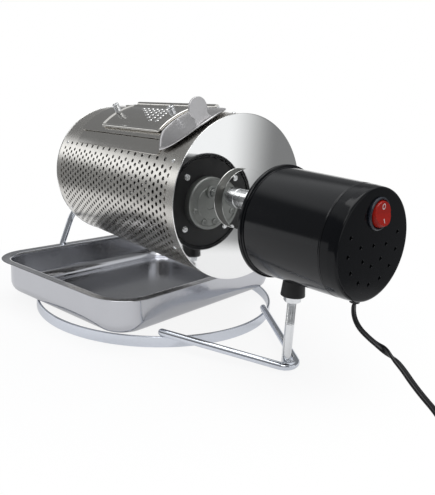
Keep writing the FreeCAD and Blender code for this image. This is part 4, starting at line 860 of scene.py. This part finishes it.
def pull_plate_surface():
    """The plate past the panel: a straight side with a beaded edge and a round end about
    (PULL_X, 0), cut off at its front corner.  A point at `off` from the lid's middle lies
    asin(off / radius) round the drum from it."""
    turn = np.radians(np.linspace(-97.0, 78.0, 70))
    arc = np.stack([PULL_X + PULL_RADIUS * np.cos(turn), PULL_RADIUS * np.sin(turn)], -1)
    side = softened([arc[-1], (90.5, 30.5), (84.4, 22.0), (84.4, -36.0), arc[0]], [0, 10.0, 6.0, 2.0, 0], 8)
    outline = np.concatenate([arc, evened(side, 2.2)[1:-1]])
    middle = np.array([104.0, 0.0])

    def laid(along, off, height):
        return on_drum(along, LID_ANGLE + np.degrees(np.arcsin(off / (SHELL + height))), SHELL + height)
    rows = []
    for inset, height in ((0.6, 2.55), (0.0, 2.9), (0.0, 3.6), (0.35, 3.95), (1.2, 4.0), (1.9, 3.75),
                          (2.6, 3.55), (4.0, 3.55)):
        out = outline - middle
        rows.append((middle + out * (1 - inset / np.linalg.norm(out, axis=1, keepdims=True)), height))
    return pressed(rows, laid, rings=12)


def tab_surface():
    """The finger tab, 1.5 thick: a disc on a neck that flares at its foot, stood up from the drum."""
    turn = np.radians(np.linspace(-40, 220, 44))
    disc = np.stack([TAB_RADIUS * np.cos(turn), 12.35 + TAB_RADIUS * np.sin(turn)], -1)
    foot = softened([disc[-1], (-7.3, 3.2), (-9.4, -0.4), (9.4, -0.4), (7.3, 3.2), disc[0]],
                    [0, 6.0, 0.1, 0.1, 6.0, 0], 6)
    outline = np.concatenate([disc, foot[1:-1]])
    middle = np.array([0.0, 8.0])
    angle = math.radians(TAB_ANGLE)
    out = np.array([-math.sin(angle), math.cos(angle)])
    along_it = np.array([-math.cos(angle), -math.sin(angle)])

    def standing(across, up, thick):
        flat = across[..., None] * along_it + (TAB_FOOT + up[..., None]) * out
        return np.stack([TAB_X + thick, flat[..., 0], DRUM_Z + flat[..., 1]], -1)
    levels = [(middle + (outline - middle) * share, thick)
              for share, thick in ((0.975, -0.75), (1.0, -0.5), (1.0, 0.5), (0.975, 0.75))]
    return pressed(levels, standing, rings=6)


def standing_on_lid(surface, along):
    """A piece made upright about its own Z, stood in the lid's middle, its foot COVER_TOP from the
    drum's axis."""
    turn = Matrix.Rotation(math.radians(LID_ANGLE), 4, "X")
    return placed(surface, Matrix.Translation(on_drum(along, LID_ANGLE, COVER_TOP)) @ turn)


def spring_surface(height, radius=2.75, wire=0.55, turns=6.5):
    """A coil: its middle line is (R cos a, R sin a, rise), closer wound at both ends."""
    share = np.linspace(0, 1, int(turns * 22))
    angle = 2 * math.pi * turns * share
    rise = wire + (height - 2 * wire) * (share - 0.06 * np.sin(2 * math.pi * share))
    path = np.stack([radius * np.cos(angle), radius * np.sin(angle), rise], -1)
    whole, scale = domed(path, wire, 3)
    side = np.stack([np.cos(angle), np.sin(angle), np.zeros_like(angle)], -1)
    side = np.concatenate([side[:1]] * 3 + [side] + [side[-1:]] * 3)
    return swept(whole, circle(wire, 10), side, scale)


# Half section of a cover screw: the stud from 1 mm inside the cover, and its slotted cap's rim.
STUD = ((-1.0, 0.0), (-1.0, 1.9), (7.0, 1.9), (7.0, 3.3), (8.6, 3.3), (8.6, 1.4), (8.0, 1.1), (8.0, 0.0))
STUD_RADII = (0, 0.1, 0.1, 0.4, 0.7, 0.3, 0.2, 0)


def add_lid():
    """The saddle on the drum, and the lid with its cover, pull plate, screws and springs."""
    piece("saddle_sheet", saddle_surface(), "lid_steel", "drum", "lid_frame")
    piece("lid_sheet", panel_surface(), "lid_steel", "lid", "lid_panel")
    piece("cover_plate", cover_surface(), "lid_steel", "lid", "lid_cover")
    piece("cover_pips", cover_dimples(), "mirror_steel", "lid")
    piece("pull_sheet", join(pull_plate_surface(), tab_surface()), "lid_steel", "lid", "pull_plate",
          look="pull_steel")
    screw = revolved(softened(STUD, STUD_RADII, 4), "z", (0, 0, 0), 40)
    for name, along in SCREW_PLACES:
        piece(name + "_cover_screw", standing_on_lid(screw, along), "bolt_steel", "lid", "cover_screws")
        piece(name + "_cover_spring", standing_on_lid(spring_surface(6.9), along), "bolt_steel", "lid",
              "cover_springs", sharp=60)


# ---- motor housing -------------------------------------------------------------------------

CAP_FACE, CAP_BACK, CAP_EDGE = 275.8, 273.8, 38.4  # the cap's flat face: front, back and radius
VENT, VENT_BORE, SWITCH_HOLE, SWITCH_MIDDLE = 1.75, 1.4, 11.0, 23.2
SWITCH_Z, PIVOT_X = 150.0, 276.6
ROCKER_BALL, ROCKER_FACE, ROCKER_ANGLE = 9.6, 3.0, 10.0
LUG_CIRCLE = 19.2
ROCKER_LEAN = (Matrix.Translation((PIVOT_X, 0, SWITCH_Z))
               @ Matrix.Rotation(math.radians(-ROCKER_ANGLE), 4, "Y"))


def housing_surface():
    """The tapered shell: a double lip with a groove behind each ring, and a step at the seam.  Its
    radius is 46 at x = 183.5 and falls evenly by 2.8 over 78.5."""
    def taper(x):
        return 46.0 - (x - 183.5) * 2.8 / 78.5
    corners = [(189.0, 43.7), (184.5, 43.9), (183.5, 44.5), (183.5, 45.5), (184.2, 45.8), (184.2, 46.2),
               (183.5, 46.5), (183.5, 47.5), (184.0, 48.0), (186.2, 48.0), (186.7, 47.5), (186.8, 46.5),
               (187.3, taper(187.3) - 0.25), (188.4, taper(188.4) - 0.2), (189.0, taper(189.0)),
               (220.0, taper(220.0)), (260.9, taper(260.9)), (261.3, 42.9), (262.0, 42.85), (262.0, 41.2),
               (220.0, 42.7), (192.0, 43.65)]
    radii = [0.3, 0.8, 0.4, 0.3, 0.15, 0.15, 0.3, 0.5, 0.5, 0.5, 0.4, 0.3, 0.3, 0.5, 1.0, 5.0, 0.5, 0.2,
             0.1, 0.1, 5.0, 1.0]
    return turned(corners, radii, "x", MOTOR_AXIS, 192)


def vent_places():
    """Middles of the cap's holes from the motor axis: one, five and nine, round the lower half."""
    inner, outer = np.radians(45.0 * np.arange(-2, 3)), np.radians(26.5 * np.arange(-4, 5))
    rows = [np.zeros((1, 2))] + [radius * np.stack([np.sin(turn), -np.cos(turn)], -1)
                                 for radius, turn in ((15.2, inner), (29.0, outer))]
    return np.concatenate(rows)


def cap_surface():
    """The rear cap: a turned wall with a round edge, and a flat face cut round its holes.

    The face between the outline and the holes is triangulated once, for the front and for the
    back; the switch has a plain hole, and every vent a small chamfer and a bore.
    """
    wall = softened([(CAP_FACE, CAP_EDGE), (CAP_FACE, 41.9), (269.0, 42.75), (262.5, 43.1), (262.3, 42.8),
                     (262.3, 41.1), (272.8, 39.9), (CAP_BACK, CAP_EDGE)],
                    [0, 3.4, 12.0, 0.2, 0.1, 0.2, 1.0, 0], 8)
    outside = revolved(evened(wall, 0.6), "x", MOTOR_AXIS, 144)

    def clockwise(radius, steps):
        return circle(radius, steps) * (1, -1)
    switch_hole = (0, SWITCH_MIDDLE) + clockwise(SWITCH_HOLE, 64)
    loops = [circle(CAP_EDGE, 144), switch_hole] + [middle + clockwise(VENT, 24) for middle in vent_places()]
    triangles = np.array(tessellate_polygon([[(float(y), float(z), 0.0) for y, z in loop] for loop in loops]))
    flat = np.concatenate(loops)

    def at(plane, loop):
        return np.column_stack([np.full(len(loop), plane), loop[:, 0], MOTOR_Z + loop[:, 1]])

    def bored(*levels):
        return grid(np.array([at(plane, loop) for plane, loop in levels]), wrap_columns=True)
    sheets = [(at(plane, flat), [triangles]) for plane in (CAP_FACE, CAP_BACK)]
    bores = [bored((CAP_FACE, switch_hole), (CAP_BACK, switch_hole))]
    for middle in vent_places():
        mouth, bore = middle + clockwise(VENT, 24), middle + clockwise(VENT_BORE, 24)
        bores.append(bored((CAP_FACE, mouth), (CAP_FACE - 0.4, bore), (CAP_BACK + 0.3, bore),
                           (CAP_BACK, mouth)))
    return join(outside, *sheets, *bores)


def rocker_height(y, z):
    """The rocker's face above its pivot: 3 + tan(10 degrees) sqrt(z^2 + 0.3), held under the ball
    sqrt(9.6^2 - y^2 - z^2) that its edge is part of."""
    face = ROCKER_FACE + math.tan(math.radians(ROCKER_ANGLE)) * np.sqrt(z ** 2 + 0.3)
    ball = np.sqrt(np.maximum(ROCKER_BALL ** 2 - y ** 2 - z ** 2, 0))
    return np.minimum(face, ball)


def rocker_surface():
    """The round rocker: its face on rings out to the ball's edge, then the ball down to its foot."""
    turn = np.linspace(0, 2 * math.pi, 72, endpoint=False)
    radius = np.concatenate([np.linspace(0, 8.2, 12), np.linspace(8.4, 9.1, 6)])[:, None]
    y, z = radius * np.cos(turn), radius * np.sin(turn)
    face = np.stack([rocker_height(y, z), y, z], -1)
    below = np.linspace(2.2, -3.0, 8)[:, None]
    skirt = np.sqrt(ROCKER_BALL ** 2 - below ** 2)
    side = np.stack(np.broadcast_arrays(below, skirt * np.cos(turn), skirt * np.sin(turn)), -1)
    foot = np.stack(np.broadcast_arrays(below[-1], 0 * turn, 0 * turn), -1)[None]
    return placed(grid(np.concatenate([face, side, foot]), wrap_columns=True), ROCKER_LEAN)


def switch_marks():
    """A raised ring on the upper half of the rocker and a raised bar on the lower one."""
    turn = np.linspace(0, 2 * math.pi, 40, endpoint=False)
    radius = np.array([1.25, 1.3, 1.8, 1.85])[:, None]
    lift = np.array([0.0, 0.07, 0.07, 0.0])[:, None]
    y, z = radius * np.cos(turn), 5.0 + 1.15 * radius * np.sin(turn)
    ring = grid(np.stack([rocker_height(y, z) + lift, y, z], -1), wrap_columns=True)
    across, up = np.meshgrid([-0.32, -0.28, 0.28, 0.32], np.linspace(-6.6, -3.4, 9), indexing="ij")
    bar = grid(np.stack([rocker_height(across, up) + lift, across, up], -1))
    return placed(join(ring, bar), ROCKER_LEAN)


def gearbox_surface():
    """The gearbox: a cast face with a raised rim, a sunk ring and four lugs round the motor's axis,
    a flange behind it, and a nose on the drum's axis."""
    corners = [(203.0, 0.0), (203.0, 24.0), (203.0, 25.9), (178.0, 25.9), (177.0, 25.0), (177.0, 22.6),
               (177.9, 22.2), (177.9, 16.0), (177.2, 15.6), (177.2, 6.0), (178.2, 5.6), (178.2, 0.0)]
    body = revolved(softened(corners, 0.5, 4), "x", MOTOR_AXIS, 128)
    nose = turned([(179.0, 4.1), (179.0, 6.5), (174.5, 6.5), (174.5, 4.1)], 0.5, "x", DRUM_AXIS, 48)
    flange = turned([(188.0, 25.0), (188.0, 26.8), (189.9, 26.8), (189.9, 25.0)], 0.3, "x", MOTOR_AXIS, 96, 3)
    lug = [(178.8, 0.0), (176.9, 1.2), (176.6, 2.4), (177.2, 3.0), (179.0, 3.1), (179.0, 0.0)]
    lugs = [revolved(lug, "x", (0, LUG_CIRCLE * math.cos(turn), MOTOR_Z + LUG_CIRCLE * math.sin(turn)), 28)
            for turn in np.radians([200, 250, 290, 340])]
    return join(body, nose, flange, *lugs)


def add_motor():
    """The motor's shell with its cap and screws, the gearbox, the switch and the cord's bush."""
    head = softened([(186.0, 0.0), (183.3, 0.0), (182.9, 1.6), (183.4, 3.1), (184.7, 3.1), (186.0, 1.5)],
                    [0, 0.8, 1.0, 0.5, 0.2, 0], 4)
    heads = [revolved(head, "x", (0, y, MOTOR_Z + z), 32) for y in (-25, 25) for z in (-25, 25)]
    bezel = [(266.8, 10.0), (277.2, 10.0), (278.0, 10.6), (278.0, 11.2), (277.2, 12.0), (275.85, 12.0),
             (275.85, 10.85), (266.8, 10.85)]
    bezel = turned(bezel, [0.1, 0.5, 0.4, 0.6, 0.8, 0.1, 0.1, 0.1], "x", (0, 0, SWITCH_Z), 96)
    bush = [(87.0, 2.9), (81.6, 2.9), (81.0, 3.2), (81.4, 3.85), (83.4, 3.85), (87.0, 3.85)]
    bush = turned(bush, [0.1, 0.3, 0.3, 0.5, 0.2, 0.1], "z", (266.0, 0, 0), 40)
    piece("motor_shell", housing_surface(), "black_shell", "stand", "motor_housing", sharp=30)
    piece("rear_cover", cap_surface(), "black_shell", "stand", "housing_rear_cap", look="cover_black",
          sharp=30)
    piece("front_screw_heads", join(*heads), "bolt_steel", "stand", "front_plate_screws")
    piece("gear_case", gearbox_surface(), "gearbox_grey", "stand", "gearbox")
    piece("switch_ring", bezel, "black_plastic", "stand", "switch_bezel", look="bezel_black")
    piece("rocker", rocker_surface(), "rocker_red", "rocker", "rocker_button", sharp=50)
    piece("rocker_marks", switch_marks(), "rocker_red", "rocker", look="mark_white")
    piece("cord_bush", bush, "black_plastic", "stand", "cord_gland")


# ---- tray ----------------------------------------------------------------------------------

# Sections of the tray's rolled rim: how far in from its edge, and the height.
RIM = ((9.0, 36.0), (9.0, 45.4), (8.6, 46.6), (7.6, 47.15), (4.0, 47.2), (0.9, 47.2), (0.35, 47.3),
       (0.05, 47.6), (0.05, 47.9), (0.35, 48.15), (0.9, TRAY_RIM), (3.0, 48.05), (7.4, 48.05), (8.6, 47.9),
       (9.5, 47.3), (9.95, 46.2), (10.0, 44.0), (10.0, 35.0))


def add_tray():
    """The tray, from the middle of its underside out round the rim and in to the middle of its floor.
    The foot of its wall is two arcs about the point 22 in and 23.8 up, 13 below it and 12 above."""
    def arc(radius, angles):
        return [(22 - radius * math.sin(a), 23.8 - radius * math.cos(a)) for a in angles]
    fillet = np.radians(np.linspace(0, 90, 10))
    levels = arc(13, fillet) + list(RIM) + arc(12, fillet[::-1])
    loops = inset_loops(TRAY_LOW, TRAY_HIGH, 38.0, levels, 12.0, side_steps=16, corner_steps=14)
    piece("catch_tray", pressed(loops, on_tray), "tray_steel", "tray_pan", "tray")


add_cord()
add_stand()
add_drum()
add_lid()
add_motor()
add_tray()

for part in frame["record"]["subparts"]:
    solid = frame["nodes"][part["node"]]
    solid.data.materials.clear()
    solid.data.materials.append(LOOKS[part["material_slot"]])


# ---- light, floor and camera ---------------------------------------------------------------

def ray_is(tree, *kinds):
    """1 for light paths of any of these kinds, else 0: the largest of their Light Path values."""
    path = add(tree, "ShaderNodeLightPath")
    value = path.outputs[kinds[0]]
    for kind in kinds[1:]:
        value = maths(tree, "MAXIMUM", value, path.outputs[kind])
    return value


def panel_effect():
    """A soft-edged panel of light by direction: high where the bearing is near the panel's own and
    the height (the sine of the elevation) is between its low and high edges."""
    tree, given, out = effect("soft_panel", [("Way", "Vector"), ("Toward", "Vector"), ("Width", "Float"),
                                             ("Low", "Float"), ("High", "Float"), ("Edge", "Float"),
                                             ("Strength", "Float")], [("Light", "Float")])
    level = add(tree, "ShaderNodeVectorMath", {0: given["Way"], 1: (1, 1, 0)}, operation="MULTIPLY")
    level = add(tree, "ShaderNodeVectorMath", {0: level.outputs[0]}, operation="NORMALIZE")
    near = add(tree, "ShaderNodeVectorMath", {0: level.outputs[0], 1: given["Toward"]},
               operation="DOT_PRODUCT")
    apart = maths(tree, "ARCCOSINE", near.outputs["Value"])
    height = add(tree, "ShaderNodeSeparateXYZ", {0: given["Way"]}).outputs["Z"]

    def edge(value, start, rising):
        """0 to 1 over the panel's edge width on from the start, or 1 to 0 if it falls."""
        ends = {"Value": value, "From Min": start, "From Max": maths(tree, "ADD", start, given["Edge"]),
                "To Min": float(not rising), "To Max": float(rising)}
        return add(tree, "ShaderNodeMapRange", ends, interpolation_type="SMOOTHSTEP").outputs["Result"]
    light = given["Strength"]
    for share in (edge(apart, given["Width"], False), edge(height, given["Low"], True),
                  edge(height, given["High"], False)):
        light = maths(tree, "MULTIPLY", light, share)
    tree.links.new(light, out.inputs["Light"])
    return tree


# Each panel: bearing and half width in degrees, low and high edges as sines, edge width (in radians
# round it and as a sine up and down), strength.
PANELS = (
    (-155, 14, 0.06, 0.27, 0.08, 1.45),
    (-128, 10, -1.2, -0.06, 0.05, 0.75),
    (22, 18, -0.18, 0.30, 0.10, 0.78),
    (22, 18, -1.2, -0.28, 0.10, 0.50),
    (-150, 180, 0.58, 1.10, 0.16, 0.65),
)
BACKDROP = (134, 26, -1.2, 0.16, 0.10, 1.0)
WALLS = 0.22
TABLE_DROP, TABLE_HALF = -0.0002, 6.0  # just under the standing plane, so that feet stand clear of it
WHITE_FROM, WHITE_TO = 0.17, 0.34  # the table fades to white between these distances
ENDS_FROM, ENDS_TO = 0.44, 0.56  # in reflections the table ends between these
TABLE_GLOW = 0.45  # the share of plain white in the table that reflections see


def add_world():
    """A grey studio with soft panels of light before a white backdrop.  Straight camera rays and rays
    through glass see plain white, and so do mirrored rays that go towards the backdrop."""
    world = bpy.data.worlds.new("studio")
    bpy.context.scene.world = world
    world.use_nodes = True
    tree = world.node_tree
    tree.nodes.clear()
    way = add(tree, "ShaderNodeTexCoord").outputs["Generated"]
    soft_panel = panel_effect()

    def panel_light(bearing, width, low, high, edge, strength):
        panel = add(tree, "ShaderNodeGroup", node_tree=soft_panel)
        tree.links.new(way, panel.inputs["Way"])
        turn = math.radians(bearing)
        for label, value in (("Toward", (math.cos(turn), math.sin(turn), 0)), ("Width", math.radians(width)),
                             ("Low", low), ("High", high), ("Edge", edge), ("Strength", strength)):
            panel.inputs[label].default_value = value
        return panel.outputs["Light"]
    total = WALLS
    for panel in PANELS:
        total = maths(tree, "ADD", panel_light(*panel), total)
    mirrored = maths(tree, "MULTIPLY", panel_light(*BACKDROP), ray_is(tree, "Is Glossy Ray"))
    straight = ray_is(tree, "Is Camera Ray", "Is Transmission Ray")
    studio = add(tree, "ShaderNodeBackground", {"Color": (0.97, 0.985, 1.0, 1), "Strength": total})
    white = add(tree, "ShaderNodeBackground", {"Color": (1, 1, 1, 1), "Strength": 1.0})
    mix = add(tree, "ShaderNodeMixShader", {0: maths(tree, "MAXIMUM", mirrored, straight),
                                            1: studio.outputs[0], 2: white.outputs[0]})
    add(tree, "ShaderNodeOutputWorld", {"Surface": mix.outputs[0]})


def add_floor():
    """A plain table: near white, with a share of the shadow, and plain white to the camera further
    out.  In reflections it ends half a metre out, where the studio goes on."""
    look = bpy.data.materials.new("table")
    look.use_nodes = True
    tree = look.node_tree
    tree.nodes.clear()
    place = add(tree, "ShaderNodeTexCoord").outputs["Object"]
    far = add(tree, "ShaderNodeVectorMath", {0: place}, operation="LENGTH").outputs["Value"]

    def share(start, end, least=0.0):
        ends = {"Value": far, "From Min": start, "From Max": end, "To Min": least, "To Max": 1.0}
        return add(tree, "ShaderNodeMapRange", ends, interpolation_type="SMOOTHSTEP").outputs["Result"]

    def mixed(factor, one, other):
        return add(tree, "ShaderNodeMixShader", {0: factor, 1: one, 2: other}).outputs[0]
    plain = add(tree, "ShaderNodeBsdfDiffuse", {"Color": (0.88, 0.88, 0.90, 1)}).outputs[0]
    white = add(tree, "ShaderNodeEmission", {"Color": (1, 1, 1, 1), "Strength": 1.0}).outputs[0]
    open_air = add(tree, "ShaderNodeBsdfTransparent").outputs[0]
    seen = mixed(share(WHITE_FROM, WHITE_TO, 0.88), plain, white)
    mirrored = mixed(share(ENDS_FROM, ENDS_TO), mixed(TABLE_GLOW, plain, white), open_air)
    both = mixed(ray_is(tree, "Is Camera Ray"), mirrored, seen)
    add(tree, "ShaderNodeOutputMaterial", {"Surface": both})
    mesh = bpy.data.meshes.new("table_top")
    corners = [(x * TABLE_HALF, y * TABLE_HALF, TABLE_DROP) for x, y in ((-1, -1), (1, -1), (1, 1), (-1, 1))]
    mesh.from_pydata(corners, [], [(0, 1, 2, 3)])
    mesh.materials.append(look)
    table = bpy.data.objects.new("table_top", mesh)
    bpy.context.scene.collection.objects.link(table)


def add_light(name, place, aim, size, power):
    """A soft square lamp at a place, facing a point."""
    lamp = bpy.data.lights.new(name, "AREA")
    lamp.size, lamp.energy = size, power
    thing = bpy.data.objects.new(name, lamp)
    bpy.context.scene.collection.objects.link(thing)
    away = Vector(place) - Vector(aim)
    thing.matrix_world = Matrix.Translation(place) @ away.to_track_quat("Z", "Y").to_matrix().to_4x4()


SENSOR, FOCAL_SHARE = 36.0, 521.74 / 495  # millimetres, and the focal length as a share of it


def add_camera():
    """The camera: its matrix has its right, up and backward directions and its place as columns."""
    lens = bpy.data.cameras.new("view")
    lens.lens, lens.sensor_width, lens.sensor_fit = SENSOR * FOCAL_SHARE, SENSOR, "AUTO"
    lens.clip_start, lens.clip_end = 0.02, 50.0
    view = bpy.data.objects.new("view", lens)
    bpy.context.scene.collection.objects.link(view)
    view.matrix_world = Matrix(((0.6296, -0.2238, 0.7440, 0.4812), (0.7744, 0.1018, -0.6245, -0.3166),
                                (0.0640, 0.9694, 0.2373, 0.2063), (0, 0, 0, 1)))
    bpy.context.scene.camera = view


add_world()
add_floor()
add_light("ceiling", (0.2, -0.1, 1.5), (0.05, 0, 0.1), 1.1, 9.0)
add_light("key", (1.2, -0.6, 1.0), (0.1, 0, 0.12), 0.5, 2.5)
add_camera()
bpy.context.scene.view_settings.view_transform = "Standard"
